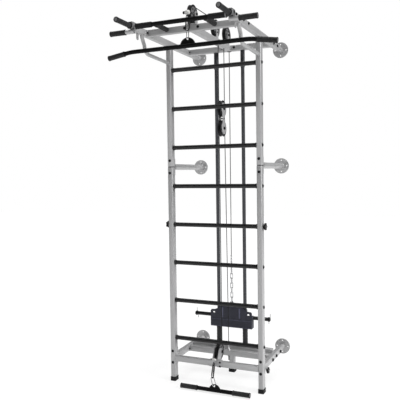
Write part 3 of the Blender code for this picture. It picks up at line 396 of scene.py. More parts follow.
def arc(centre, radius, start, end, steps):
    """Points of an arc, angles in degrees, both ends included."""
    angle = np.radians(np.linspace(start, end, steps + 1))
    return np.array(centre) + radius * np.column_stack((np.cos(angle), np.sin(angle)))


def rounded(wide, high, radius, steps=5):
    """A rectangle whose corners are quarter circles."""
    # A straight strand between a fixed point and a moving one.
    corners = [arc((u * (wide / 2 - radius), v * (high / 2 - radius)), radius, start, start + 90, steps)
               for u, v, start in ((1, 1, 0), (-1, 1, 90), (-1, -1, 180), (1, -1, 270))]
    return np.vstack(corners)


def softened(points, radius, steps=5):
    """A closed polygon whose corners are curves: each is a quadratic curve between its two sides."""
    points = np.asarray(points, float)
    before, after = np.roll(points, 1, 0) - points, np.roll(points, -1, 0) - points
    reach_before = np.minimum(radius / np.linalg.norm(before, axis=1), 0.48)[:, None]
    reach_after = np.minimum(radius / np.linalg.norm(after, axis=1), 0.48)[:, None]
    first, last = points + before * reach_before, points + after * reach_after
    t = np.linspace(0, 1, steps + 1)[None, :, None]
    curve = (1 - t) ** 2 * first[:, None] + 2 * t * (1 - t) * points[:, None] + t ** 2 * last[:, None]
    return curve.reshape(-1, 2)


def mirrored(half):
    """A profile of radius and height points, and after it the same points mirrored at height zero."""
    return half + [(radius, -height) for radius, height in reversed(half)]


def inset_normals(outline):
    """For each point, the step inwards that moves both its sides in by one: the mitre direction."""
    side = np.roll(outline, -1, 0) - outline
    side /= np.maximum(np.linalg.norm(side, axis=1), 1e-12)[:, None]
    normal = np.column_stack((-side[:, 1], side[:, 0]))
    area = np.sum(outline[:, 0] * np.roll(outline[:, 1], -1) - np.roll(outline[:, 0], -1) * outline[:, 1])
    normal *= np.sign(area)
    both = normal + np.roll(normal, 1, 0)
    return both / np.maximum(np.sum(both * normal, axis=1), 0.3)[:, None]


AXES = {"x": ((0, 1, 0), (0, 0, 1), (1, 0, 0)), "y": ((1, 0, 0), (0, 0, 1), (0, 1, 0)),
        "z": ((1, 0, 0), (0, 1, 0), (0, 0, 1))}


class Place:
    """A local frame: an origin and three directions that local a, b and c run along."""

    def __init__(self, origin, facing="z", turn=0.0, flip=False):
        self.origin = np.array(origin, float)
        a, b, c = (np.array(axis, float) for axis in (AXES[facing] if isinstance(facing, str) else facing))
        cos, sin = math.cos(math.radians(turn)), math.sin(math.radians(turn))
        self.a, self.b = a * cos + b * sin, b * cos - a * sin
        self.c = -c if flip else c

    def __call__(self, points, heights=0.0):
        """(n, 2) points and their heights, as points in space."""
        points = np.asarray(points, float)
        heights = np.broadcast_to(np.asarray(heights, float), points.shape[:-1])
        return (self.origin + points[..., :1] * self.a + points[..., 1:2] * self.b
                + heights[..., None] * self.c)


class Shape:
    """Grids of points joined into faces; corner values hold the share of a turn and the metres run."""

    def __init__(self):
        self.points, self.faces, self.values = [], [], []
        self.count = 0

    def face(self, points):
        """One flat face with many corners."""
        self.faces.append(list(range(self.count, self.count + len(points))))
        self.values.append(np.column_stack((points[:, 0], points[:, 2])))
        self.points.append(points)
        self.count += len(points)
        return self

    def rings(self, rings, looped=False, capped=True, closed=True):
        """Joins every ring of points, closed or open, to the next, and fills the two end rings."""
        rows, columns = rings.shape[:2]
        spans = np.linalg.norm(np.roll(rings, -1, 0) - rings, axis=2).mean(axis=1)
        run = np.concatenate(([0.0], np.cumsum(spans)))
        row, column = np.meshgrid(np.arange(rows if looped else rows - 1),
                                  np.arange(columns if closed else columns - 1), indexing="ij")
        row, column = row.ravel(), column.ravel()
        after, below = (column + 1) % columns, (row + 1) % rows
        quads = np.stack((row * columns + column, row * columns + after,
                          below * columns + after, below * columns + column), 1) + self.count
        share = column / columns
        values = np.stack((np.stack((share, run[row]), 1), np.stack((share + 1 / columns, run[row]), 1),
                           np.stack((share + 1 / columns, run[row + 1]), 1),
                           np.stack((share, run[row + 1]), 1)), 1)
        self.faces += quads.tolist()
        self.values.append(values.reshape(-1, 2))
        if capped and not looped:
            for start in (0, (rows - 1) * columns):
                self.faces.append(list(range(self.count + start, self.count + start + columns)))
                ends = rings[0 if start == 0 else -1]
                self.values.append(np.column_stack((ends[:, 0], ends[:, 2])))
        self.points.append(rings.reshape(-1, 3))
        self.count += rows * columns
        return self

    def turned(self, profile, place, steps=None, looped=False):
        """Radius and height points spun round the axis: ring k is a circle of radius k at height k."""
        steps = steps or bpy.context.scene.gym_details.steps
        profile = np.asarray(profile, float)
        rings = profile[:, :1, None] * circle(1.0, steps)[None]
        return self.rings(place(rings, profile[:, 1:2]), looped)

    def prism(self, outline, low, high, place, edge=0.0007, steps=2):
        """An outline given thickness, its rims rounded: near each end it moves in along a quarter arc."""
        angle = np.linspace(0, np.pi / 2, steps + 1)
        move, rise = edge * (1 - np.sin(angle)), edge * (1 - np.cos(angle))
        insets = np.concatenate((move, move[::-1]))
        heights = np.concatenate((low + rise, high - rise[::-1]))
        inward = inset_normals(outline)
        rings = outline[None] + insets[:, None, None] * inward[None]
        return self.rings(place(rings, heights[:, None]))

    def swept(self, path, section, across, looped=False):
        """A section carried along a flat path: its first axis is the path's sideways direction in the
        plane, its second the plane's normal."""
        path = np.asarray(path, float)
        across = np.array(across, float)
        if looped:
            along = np.roll(path, -1, 0) - np.roll(path, 1, 0)
        else:
            along = np.gradient(path, axis=0)
        along /= np.linalg.norm(along, axis=1)[:, None]
        side = np.cross(across, along)
        side /= np.linalg.norm(side, axis=1)[:, None]
        rings = path[:, None] + section[None, :, :1] * side[:, None] + section[None, :, 1:] * across
        return self.rings(rings, looped)

    def pierced(self, cells, rim, low, high, place, rings=2):
        """A plate with holes: in each cell both faces run from the hole's circle out to the cell's own
        outline, so that neighbouring cells meet; the rim and each hole's wall join the two faces."""
        for (u, v), hole, outline in cells:
            outline = np.asarray(outline, float)
            if not isinstance(hole, np.ndarray):
                angle = np.arctan2(outline[:, 1] - v, outline[:, 0] - u)
                hole = np.array((u, v)) + hole * np.column_stack((np.cos(angle), np.sin(angle)))
            share = np.linspace(0, 1, rings + 1)[:, None, None]
            sheet = hole[None] * (1 - share) + outline[None] * share
            for height in (low, high):
                self.rings(place(sheet, height), capped=False)
            self.rings(place(np.stack((hole, hole)), np.array(((low,), (high,)))), capped=False)
        for edge in rim if isinstance(rim, list) else [rim]:
            self.rings(place(np.stack((edge, edge)), np.array(((low,), (high,)))), capped=False)
        return self


def cast(centre, polygon, ray):
    """Where rays from a centre meet the convex outline round it."""
    corners = np.asarray(polygon, float) - centre
    side = (np.roll(corners, -1, 0) - corners)[None]
    cross = ray[..., 0] * side[..., 1] - ray[..., 1] * side[..., 0]
    cross = np.where(np.abs(cross) < 1e-9, 1e-9, cross)
    reach = (corners[:, 0] * side[..., 1] - corners[:, 1] * side[..., 0]) / cross
    share = (corners[:, 0] * ray[..., 1] - corners[:, 1] * ray[..., 0]) / cross
    hit = np.where((share > -1e-6) & (share < 1 + 1e-6) & (reach > 0), reach, 9.0).min(axis=1)
    return np.array(centre) + ray[:, 0] * hit[:, None]


def cell(centre, hole, polygon, steps=40):
    """A hole, given as a radius or an outline, and the convex outline round it, sampled on the same rays."""
    corners = np.asarray(polygon, float) - centre
    angle = np.sort(np.concatenate((np.arange(steps) * (2 * np.pi / steps) - np.pi,
                                    np.arctan2(corners[:, 1], corners[:, 0]))))
    angle = angle[np.concatenate(([True], np.diff(angle) > 1e-4))]
    ray = np.column_stack((np.cos(angle), np.sin(angle)))[:, None]
    return tuple(centre), hole if np.isscalar(hole) else cast(centre, hole, ray), cast(centre, polygon, ray)


def drilled(shape, place, start, stop, wide, high, soft, holes):
    """A tube with openings right through it: top and bottom are pierced sheets, each side is the rounded
    edge profile carried along the same stations, and each end is one face."""
    half, rise = wide / 2 - soft, high / 2
    places = [u for u, _ in holes]
    limits = [start] + [(a + b) / 2 for a, b in zip(places, places[1:])] + [stop]
    cells = [cell((u, 0.0), hole, [(low, -half), (high_end, -half), (high_end, half), (low, half)])
             for (u, hole), low, high_end in zip(holes, limits, limits[1:])]
    shape.pierced(cells, [], -rise, rise, place)
    edge = np.vstack([outline for _, _, outline in cells])
    stations = np.unique(np.round(edge[edge[:, 1] > half - 1e-7, 0], 7))[:, None]
    corner = np.vstack((arc((half, rise - soft), soft, 90, 0, 5), arc((half, soft - rise), soft, 0, -90, 5)))
    for side in (-1, 1):
        flat = np.stack(np.broadcast_arrays(stations, side * corner[None, :, 0]), -1)
        shape.rings(place(flat, corner[None, :, 1]), capped=False, closed=False)
    for end in (start, stop):
        across = np.unique(np.round(edge[np.abs(edge[:, 0] - end) < 1e-7, 1], 7))
        upper, lower = (np.column_stack((across, np.full_like(across, z))) for z in (rise, -rise))
        ring = np.vstack((upper, corner[1:-1], lower[::-1], (corner * (-1, 1))[-2:0:-1]))
        shape.face(place(np.column_stack((np.full(len(ring), end), ring[:, 0])), ring[:, 1]))
    return shape


COLLECTION = bpy.data.collections.new("multi_gym_looks")
bpy.context.scene.collection.children.link(COLLECTION)


def piece(name, shape, finish, body="frame", nodes=(), bends=None):
    """Makes the shape a mesh with outward faces and smooth shading, and ties it to its CAD body; a piece
    given bends stays in place instead.
    """
    mesh = bpy.data.meshes.new(name)
    mesh.from_pydata(np.vstack(shape.points), [], shape.faces)
    layer = mesh.uv_layers.new(name="run")
    layer.data.foreach_set("uv", np.vstack(shape.values).astype(np.float32).ravel())
    work = bmesh.new()
    work.from_mesh(mesh)
    bmesh.ops.remove_doubles(work, verts=work.verts, dist=2e-6)
    bmesh.ops.recalc_face_normals(work, faces=work.faces)
    work.to_mesh(mesh)
    work.free()
    mesh.shade_smooth()
    mesh.set_sharp_from_angle(angle=math.radians(SHARP_ANGLE))
    item = bpy.data.objects.new(name, mesh)
    COLLECTION.objects.link(item)
    material, slot = FINISHES[finish]
    mesh.materials.append(material)
    if bends:
        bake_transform(item)
    else:
        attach(item, body)
    if nodes:
        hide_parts(*nodes)


def at(x, y, z):
    """A point given from the plane of the rungs."""
    return np.array((x, y + LADDER_Y, z), float)


def bar(shape, start, end, wide, high, facing, radius=0.004, edge=0.0010):
    """A rounded rectangular tube from one point to another along an axis."""
    start, end = np.array(start, float), np.array(end, float)
    return shape.prism(rounded(wide, high, radius), 0.0, float(np.linalg.norm(end - start)),
                       Place(start, facing), edge)


def spun(name, profile, place, finish, body="frame", nodes=(), steps=None, looped=False):
    """A piece made of one profile of radius and height points, spun round its axis."""
    piece(name, Shape().turned(profile, place, steps, looped), finish, body, nodes)


def plate_pair(shape, outline, inner, outer, place, edge):
    """The same plate on both sides of the middle, between two distances from it."""
    for low, high in ((-outer, -inner), (inner, outer)):
        shape.prism(outline, low, high, place, edge)


# ---- Fasteners: radius and height are shares of the thread diameter


def hexagon(across, steps=6, soft=0.12):
    """A regular hexagon with slightly rounded corners."""
    return softened(circle(across / 2 / math.cos(math.pi / 6), 6), across * soft, steps)


def bolt(shape, point, facing, flip, size, kind, turn=0.0):
    """A washer and, on it, a chamfered hexagon head, a domed head, or a nut with the stud's end."""
    size *= bpy.context.scene.gym_details.bolt
    place = Place(point, facing, turn, flip)
    washer = [(0.55, 0), (1.00, 0), (1.06, 0.04), (1.06, 0.14), (1.00, 0.18), (0.55, 0.18)]
    shape.turned(np.array(washer) * size, place, 28)
    if kind == "dome":
        dome = [(0.86, 0.18), (0.88, 0.26), (0.80, 0.42), (0.62, 0.55), (0.34, 0.62), (0.30, 0.60),
                (0.26, 0.45), (0.05, 0.44)]
        shape.turned(np.array(dome) * size, place, 28)
        return shape
    tall = 0.72 if kind == "hex" else 0.84
    head = hexagon(1.62 * size)
    limits = np.array(((1.0, 0.18), (1.0, tall - 0.10), (0.96, tall - 0.02), (0.86, tall), (0.30, tall)))
    chamfer = np.minimum(1.0, 0.86 * size / np.linalg.norm(head, axis=1))[:, None]
    rings = np.stack([head * share * chamfer if share < 1 else head for share, _ in limits])
    shape.rings(place(rings, limits[:, 1:2] * size))
    if kind == "nut":
        stud = [(0.48, tall - 0.02), (0.48, tall + 0.22), (0.40, tall + 0.30), (0.05, tall + 0.30)]
        shape.turned(np.array(stud) * size, place, 20)
    return shape


def axle_ends(shape, half, centre, size, turn):
    """A bolt head on the right end of a wheel's axle, and a nut on the left end."""
    for side, kind in ((-1, "nut"), (1, "hex")):
        bolt(shape, at(side * half, *centre), "x", side < 0, size, kind, turn)


def flange(shape, x, z, radius=0.0525, circle_radius=0.0385, hole=0.005):
    """The round wall plate: four quarter cells, each with one anchor hole."""
    place = Place((x, WALL_Y - FLANGE_THICK, z), "y")
    cells, rim = [], []
    for mid in range(0, 360, 90):
        edge = arc((0, 0), radius, mid - 45, mid + 45, 14)
        spoke_in = np.linspace(0, 1, 9)[:-1, None] * edge[0]
        spoke_out = np.linspace(1, 0, 9)[1:, None] * edge[-1]
        outline = np.vstack((spoke_in, edge, spoke_out[:-1]))
        centre = circle_radius * np.array((math.cos(math.radians(mid)), math.sin(math.radians(mid))))
        cells.append((tuple(centre), hole, outline))
        rim.append(edge[:-1])
    shape.pierced(cells, np.vstack(rim), 0.0, FLANGE_THICK, place, 3)


# ---- The pieces


class GymOperator(bpy.types.Operator):
    """Shared base of the operators that build one group of pieces."""
    bl_options = {"REGISTER", "UNDO"}

    def execute(self, context):
        if not FINISHES:
            make_finishes()
        self.build(context)
        return {"FINISHED"}


class GYM_OT_ladder(GymOperator):
    """Build the uprights, their feet and the rungs"""
    bl_idname = "gym.ladder"
    bl_label = "Ladder"

    def build(self, context):
        for word, side in SIDES:
            x = side * UPRIGHT_X
            self.upright(word, x)
            self.foot(f"{word}_foot", x, LADDER_Y, 0.038, 0.052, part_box(f"{word}_foot")[1][2])
        self.foot("rear_foot", 0.0, REAR_Y, 0.0445, 0.0445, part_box("rear_foot")[1][2] + 0.006)
        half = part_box("rung_1")[1][0]
        for number in range(8):
            place = Place(at(0, 0, FIRST_RUNG_Z + number * RUNG_PITCH), "x")
            end = [(0.0149, half), (0.0155, half - 0.0007), (0.0155, half - 0.0112),
                   (0.0149, half - 0.0120), (0.0141, half - 0.0124), (0.0137, half - 0.0132),
                   (0.0135, half - 0.0150)]
            spun(f"rung_{number + 1}_bar", mirrored(end), place, "black", nodes=[f"rung_{number + 1}"])

    def upright(self, word, x):
        """Two tubes one above the other, and the spigot that shows in the gap between them."""
        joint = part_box(f"{word}_upright_upper")[0][2]
        for part, low, high in (("lower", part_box(f"{word}_upright_lower")[0][2], joint - SPIGOT_GAP),
                                ("upper", joint + SPIGOT_GAP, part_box(f"{word}_upright_upper")[1][2])):
            node = f"{word}_upright_{part}"
            tube = bar(Shape(), at(x, 0, low), at(x, 0, high), UPRIGHT_WIDE, UPRIGHT_DEEP, "z", 0.005, 0.0012)
            piece(f"{node}_tube", tube, "silver", nodes=[node])
        wide, deep, reach = UPRIGHT_WIDE - 0.0035, UPRIGHT_DEEP - 0.0035, 0.030
        spigot = bar(Shape(), at(x, 0, joint - reach), at(x, 0, joint + reach), wide, deep, "z")
        piece(f"{word}_upright_spigot", spigot, "wheel")

    def foot(self, node, x, y, wide, deep, high):
        """A cup with a wider sole, a waist and a lip, each a rounded rectangle."""
        levels = ((0.0030, 0.0), (0.0008, 0.0012), (0.0, 0.0040), (0.0, 0.0085), (0.0007, 0.0100),
                  (0.0007, high - 0.0060), (0.0, high - 0.0050), (0.0, high - 0.0018), (0.0014, high))
        outline = rounded(wide + 0.0005, deep + 0.0005, 0.006)
        inward = inset_normals(outline)
        rings = np.stack([outline + inset * inward for inset, _ in levels])
        heights = np.array([[level] for _, level in levels])
        piece(f"{node}_cup", Shape().rings(Place((x, y, 0), "z")(rings, heights)), "rubber", nodes=[node])


class GYM_OT_wall_frame(GymOperator):
    """Build the rails, wall arms, beams and struts"""
    bl_idname = "gym.wall_frame"
    bl_label = "Wall frame"

    def build(self, context):
        for word, side in SIDES:
            self.rail(word, side)
            self.arms(word, side)
            self.strut(word, side)
        self.top_beams()
        self.floor_beams()

    def rail(self, word, side):
        """Rail tube, round stub to the wall plate, outer handle tube and the drilled eye plate."""
        x = side * UPRIGHT_X
        shape = bar(Shape(), at(x, -0.460, RAIL_Z), at(x, 0.430, RAIL_Z), RAIL_WIDE, RAIL_HIGH, "y")
        self.stub(shape, x, RAIL_STUB_Z)
        shape.prism(rounded(0.026, 0.0125, 0.002), -0.013, 0.005, Place(at(x, -0.460, 2.1935), "y"))
        tube = [(0.010, 0.2885), (0.0124, 0.2887), (0.0127, 0.2892), (0.0127, 0.439), (0.010, 0.440)]
        shape.turned(tube, Place(at(0, -0.4735, OUTER_TUBE_Z), "x", flip=side < 0))
        self.eye_plate(shape, Place(at(x - 0.002, -0.415, 2.169), "x"))
        piece(f"{word}_rail_tube", shape, "silver", nodes=[f"{word}_top_rail"])

    def stub(self, shape, x, z):
        """The round end of an arm, the weld at its root, and the wall plate."""
        place = Place(at(x, 0, z), "y")
        shape.turned([(0.015, 0.420), (0.017, 0.421), (0.017, WALL_Y - LADDER_Y - FLANGE_THICK)], place)
        weld = [(0.0195, 0.431), (0.0195, 0.4335), (0.0172, 0.436), (0.0172, 0.430)]
        shape.turned(weld, place, looped=True)
        flange(shape, x, z)

    def eye_plate(self, shape, place):
        """A small plate with round ends and two holes, made of an upper and a lower cell."""
        hole = 0.0036
        top = np.vstack((arc((0.002, 0.011), 0.009, 0, 90, 6), arc((-0.002, 0.011), 0.009, 90, 180, 6)))
        bottom = np.vstack((arc((-0.002, -0.011), 0.009, 180, 270, 6),
                            arc((0.002, -0.011), 0.009, 270, 360, 6)))
        cut = np.column_stack((np.linspace(-0.011, 0.011, 9), np.full(9, 0.0015)))
        cells = [((0, 0.0085), hole, np.vstack((top, cut))),
                 ((0, -0.0055), hole, np.vstack((bottom, cut[::-1])))]
        shape.pierced(cells, np.vstack((top, cut[:1], bottom, cut[-1:])), 0.0, 0.004, place)

    def arms(self, word, side):
        """Round arm at mid height and square arm near the floor, each between two plates."""
        x, plate_y = side * UPRIGHT_X, 0.0233
        root = plate_y + 0.004
        reach = WALL_Y - LADDER_Y - FLANGE_THICK
        for name, z, plate_z in (("mid_wall_arm", 1.4146, 1.4146), ("bottom_arm", 0.1545, 0.1625)):
            place = Place(at(x, plate_y, plate_z), "y")
            shape = Shape().prism(rounded(0.030, 0.110, 0.004), 0.0, 0.005, place)
            if name == "mid_wall_arm":
                profile = [(0.0190, root), (0.0190, 0.027), (0.0212, 0.0282), (0.0206, 0.0300),
                           (0.0190, 0.0318), (0.0190, reach - 0.0165), (0.0222, reach - 0.0160),
                           (0.0230, reach - 0.0150), (0.0230, reach)]
                shape.turned(profile, Place(at(x, 0, z), "y"))
                flange(shape, x, z)
            else:
                bar(shape, at(x, root, z), at(x, 0.430, z), 0.030, 0.040, "y")
                self.stub(shape, x, z)
            piece(f"{word}_{name}_tube", shape, "silver", nodes=[f"{word}_{name}"])

    def strut(self, word, side):
        """Bent round tube: straight down from the rail, one bend, straight back to the upright."""
        x = side * UPRIGHT_X
        slope = np.column_stack((np.linspace(-0.3585, -0.3345, 6)[1:-1], np.linspace(2.169, 2.1345, 6)[1:-1]))
        bend = arc((-0.286, 2.1355), 0.0475, 184, 266, 18)
        back = np.column_stack((np.linspace(-0.28, -0.0273, 8), np.linspace(2.0877, 2.084, 8)))
        flat_path = np.vstack(([(-0.362, 2.1867), (-0.362, 2.181), (-0.3605, 2.175)], slope, bend, back,
                               [(-0.0233, 2.084)]))
        path = np.column_stack((np.full(len(flat_path), x), flat_path[:, 0] + LADDER_Y, flat_path[:, 1]))
        shape = Shape().swept(path, circle(0.011, 24), (1, 0, 0))
        piece(f"{word}_strut_tube", shape, "silver", nodes=[f"{word}_gusset_tube"])

    def beam(self, y, z, deep, high, plate_deep, hole=None):
        """A cross beam with a plate at each end, and for the cable a hole in the middle."""
        shape, reach = Shape(), BEAM_HALF - 0.0025
        if hole:
            drilled(shape, Place(at(0, y, z)), -reach, reach, deep, high, 0.004, [(0.0, hole)])
        else:
            bar(shape, at(-reach, y, z), at(reach, y, z), deep, high, "x")
        plate = rounded(plate_deep, high - 0.0004, 0.004)
        plate_pair(shape, plate, BEAM_HALF - BEAM_PLATE, BEAM_HALF, Place(at(0, y, z), "x"), 0.0007)
        return shape

    def strap(self, shape, centre, inner, foot_z):
        """The two side plates of a wheel: a half circle round the axle, and straight sides to a foot."""
        y, z = centre
        top = arc((y + LADDER_Y, z), 0.0145, 0, 180, 28)
        base = [(y - 0.0165 + LADDER_Y, foot_z), (y + 0.0165 + LADDER_Y, foot_z)]
        outer = inner + STRAP_THICK
        plate_pair(shape, np.vstack((top, base)), inner, outer, Place((0, 0, 0), "x"), 0.0005)
        half = [(0.0048, outer + 0.0033), (0.0050, outer + 0.0028), (0.0050, outer - 0.0012)]
        if inner == FRONT_STRAP:
            half += [(0.0085, 0.0250), (0.0087, 0.0248), (0.0087, 0.0116), (0.0085, 0.0113), (0.0050, 0.0113)]
        shape.turned(mirrored(half), Place(at(0, y, z), "x"), 24)

    def top_beams(self):
        """The front beam with its fork, the rear beam, and the slotted beam between them."""
        front = self.beam(FRONT_BEAM_Y, RAIL_Z, RAIL_WIDE, RAIL_HIGH, 0.050)
        front.prism(rounded(0.060, 0.050, 0.004), 2.2253, 2.2293, Place(at(0, FRONT_WHEEL[0], 0), "z"))
        front.prism(rounded(0.054, 0.022, 0.002), 2.2230, 2.2260, Place(at(0, FRONT_BEAM_Y, 0), "z"))
        self.strap(front, FRONT_WHEEL, FRONT_STRAP, 2.2270)
        piece("front_beam_and_fork", front, "silver", nodes=["front_top_beam"])
        rear = self.beam(REAR_BEAM_Y, RAIL_Z, RAIL_WIDE, RAIL_HIGH, 0.056, 0.012)
        piece("rear_beam_tube", rear, "silver", nodes=["rear_top_beam"])
        facing = ((0, 1, 0), (1, 0, 0), (0, 0, 1))
        slots = [(y, rounded(0.016, 0.014, 0.002) + (y, 0.0))
                 for y in (REAR_WHEEL_1[0] + CABLE_TURN, REAR_WHEEL_2[0] - CABLE_TURN)]
        place = Place(at(0, 0, RAIL_Z), facing)
        shape = drilled(Shape(), place, -0.2947, 0.2767, 0.032, RAIL_HIGH, 0.003, slots)
        for y in (-0.2937, 0.2727):
            shape.prism(rounded(0.104, 0.030, 0.002), 0.0, BEAM_PLATE, Place(at(0, y, RAIL_Z), "y"))
        for centre in (REAR_WHEEL_1, REAR_WHEEL_2):
            self.strap(shape, centre, REAR_STRAP, 2.2240)
        piece("pulley_beam_tube", shape, "silver", nodes=["pulley_beam"])
        half = [(0.0040, 0.0205), (0.0140, 0.0205), (0.0146, 0.0199), (0.0146, 0.0193), (0.0115, 0.0191)]
        place = Place(at(0, REAR_BEAM_Y, RAIL_Z), "z")
        spun("cable_bush", mirrored(half), place, "wheel", steps=28, looped=True)

    def floor_beams(self):
        """The front floor beam, the rear one with guide base and leg, and the cable's anchor."""
        beam = bar(Shape(), at(-0.2862, -0.010, 0.1525), at(0.2862, -0.010, 0.1525), 0.025, 0.038, "x")
        piece("front_floor_beam", beam, "silver", nodes=["front_bottom_beam"])
        rear = self.beam(ANCHOR_Y, FLOOR_BEAM_Z, 0.035, 0.038, 0.045)
        bar(rear, at(-0.2870, REAR_BEAM_Y, 0.170), at(0.2870, REAR_BEAM_Y, 0.170), 0.036, 0.040, "x")
        for side in (-1, 1):
            rear.prism(rounded(0.040, 0.050, 0.002), 0.155, 0.161, Place(at(side * 0.16, 0.257, 0), "z"))
        bar(rear, at(0, REAR_BEAM_Y, 0.0053), at(0, REAR_BEAM_Y, 0.160), 0.035, 0.035, "z")
        piece("rear_floor_frame", rear, "silver", nodes=["rear_bottom_frame"])
        crimp = [(0.0030, 0.205), (0.0040, 0.2045), (0.0055, 0.200), (0.0055, 0.193), (0.0048, 0.192),
                 (0.0048, 0.190), (0.0055, 0.189), (0.0055, 0.180), (0.0085, 0.178), (0.0090, 0.177),
                 (0.0090, 0.173)]
        place = Place(at(0, ANCHOR_Y, 0), "z")
        spun("cable_anchor", crimp, place, "chrome", steps=24)
        nut = bolt(Shape(), at(0, ANCHOR_Y, 0.1348), "z", True, 0.009, "nut")
        nut.turned([(0.0036, 0.1265), (0.0036, 0.1010), (0.0030, 0.1004)], place, 20)
        piece("cable_anchor_nut", nut, "bolt")


class GYM_OT_pull_up_bar(GymOperator):
    """Build the pull-up bar, its grips, and the forward, inner and outer handles"""
    bl_idname = "gym.pull_up_bar"
    bl_label = "Pull-up bar and handles"

    def build(self, context):
        tube = mirrored([(0.0120, 0.288), (0.0125, 0.2875)])
        spun("pull_up_tube", tube, Place(at(0, PULL_Y, PULL_Z), "x"), "bar", nodes=["pull_up_bar"])
        for word, side in SIDES:
            place = Place(at(side * BLOCK_X, PULL_Y - 0.0003, PULL_Z + BLOCK_RISE), "y")
            block = Shape().prism(rounded(0.042, 0.0365, 0.010, 8), -0.0225, 0.0225, place, 0.006, 5)
            collar = [(0.0138, 0.0), (0.0172, 0.0008), (0.0176, 0.0020), (0.0176, 0.0056), (0.0170, 0.0066),
                      (0.0138, 0.0072)]
            block.turned(collar, Place(at(side * 0.2775, PULL_Y, PULL_Z), "x", flip=side > 0))
            piece(f"{word}_end_block", block, "block")
            foam = [(0.0125, 0.0503), (0.0148, 0.0500), (0.0157, 0.0490), (0.0160, 0.0470)]
            wave = np.linspace(0.0460, -0.0460, 47)
            waves = np.column_stack((0.0159 - 0.00025 * np.cos(wave * 2 * np.pi / 0.0092) ** 2, wave))
            profile = foam + waves.tolist() + [(r, -h) for r, h in reversed(foam)]
            place = Place(at(side * 0.2225, PULL_Y, PULL_Z), "x")
            spun(f"{word}_pull_grip", profile, place, "foam")
            self.inner(word, side)
            self.forward(word, side)
            self.outer(word, side)

    def inner(self, word, side):
        """A short handle that points back from the bar: a clamp collar, a ribbed sleeve and an end cap."""
        collar = [(0.0128, 0.010), (0.0150, 0.0125), (0.0155, 0.0140), (0.0155, 0.0215), (0.0150, 0.0230),
                  (0.0128, 0.0240)]
        place = Place(at(side * 0.150, PULL_Y, PULL_Z), "y")
        spun(f"{word}_inner_collar", collar, place, "black")
        sleeve = [(0.0120, 0.0235), (0.0134, 0.0240), (0.0140, 0.0255), (0.0140, 0.1320), (0.0145, 0.1345),
                  (0.0147, 0.1360), (0.0147, 0.1430), (0.0140, 0.1450), (0.0100, 0.1460)]
        spun(f"{word}_inner_handle", sleeve, place, "ribbed")
        cap = [(0.0060, 0.1440), (0.0095, 0.1455), (0.0095, 0.1466), (0.0085, 0.1470), (0.0030, 0.1468)]
        spun(f"{word}_inner_cap", cap, place, "cap", steps=24)

    def forward(self, word, side):
        """The handle on the end block: root collar, ribbed sleeve that swells at the tip, and a cap."""
        node = f"{word}_forward_handle"
        front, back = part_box(node)[0][1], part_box(node)[1][1]
        length = back - front
        place = Place((side * BLOCK_X, back, middle(node)[2]), "y", flip=True)
        sleeve = [(0.0126, 0.0), (0.0130, 0.0004), (0.0138, 0.0050), (0.0145, 0.0100),
                  (0.0145, length - 0.017), (0.0151, length - 0.0150), (0.0155, length - 0.0130),
                  (0.0155, length - 0.0040), (0.0150, length - 0.0015), (0.0135, length - 0.0003),
                  (0.0100, length - 0.0003)]
        # The lighter grip finish here is painted light: a lit copy of the ribbed grip.
        spun(f"{word}_forward_sleeve", sleeve, place, "lit_grip", nodes=[node])
        root = [(0.0128, 0.0002), (0.0178, 0.0002), (0.0182, 0.0010), (0.0182, 0.0048), (0.0176, 0.0060),
                (0.0140, 0.0064)]
        spun(f"{word}_forward_root", root, place, "black")
        cap = [(0.0060, length - 0.0020), (0.0098, length - 0.0010), (0.0098, length - 0.0002),
               (0.0088, length), (0.0030, length - 0.0001)]
        spun(f"{word}_forward_cap", cap, place, "cap", steps=24)

    def outer(self, word, side):
        """The sleeve on the tube in front of the rail, with a rolled rim at both ends."""
        node = f"{word}_outer_grip"
        place = Place((0, middle(node)[1], OUTER_TUBE_Z), "x", flip=side < 0)
        sleeve = [(0.0131, 0.3435), (0.0150, 0.3436), (0.0158, 0.3442), (0.0160, 0.3452), (0.0160, 0.3490),
                  (0.0152, 0.3505), (0.0150, 0.3520), (0.0150, 0.4385), (0.0152, 0.4395), (0.0160, 0.4410),
                  (0.0160, 0.4448), (0.0156, 0.4460), (0.0146, 0.4468), (0.0100, 0.4470)]
        spun(f"{word}_outer_sleeve", sleeve, place, "ribbed", nodes=[node])
        cap = [(0.0060, 0.4464), (0.0098, 0.4466), (0.0098, 0.4472), (0.0088, 0.4474), (0.0030, 0.4473)]
        spun(f"{word}_outer_cap", cap, place, "cap", steps=24)


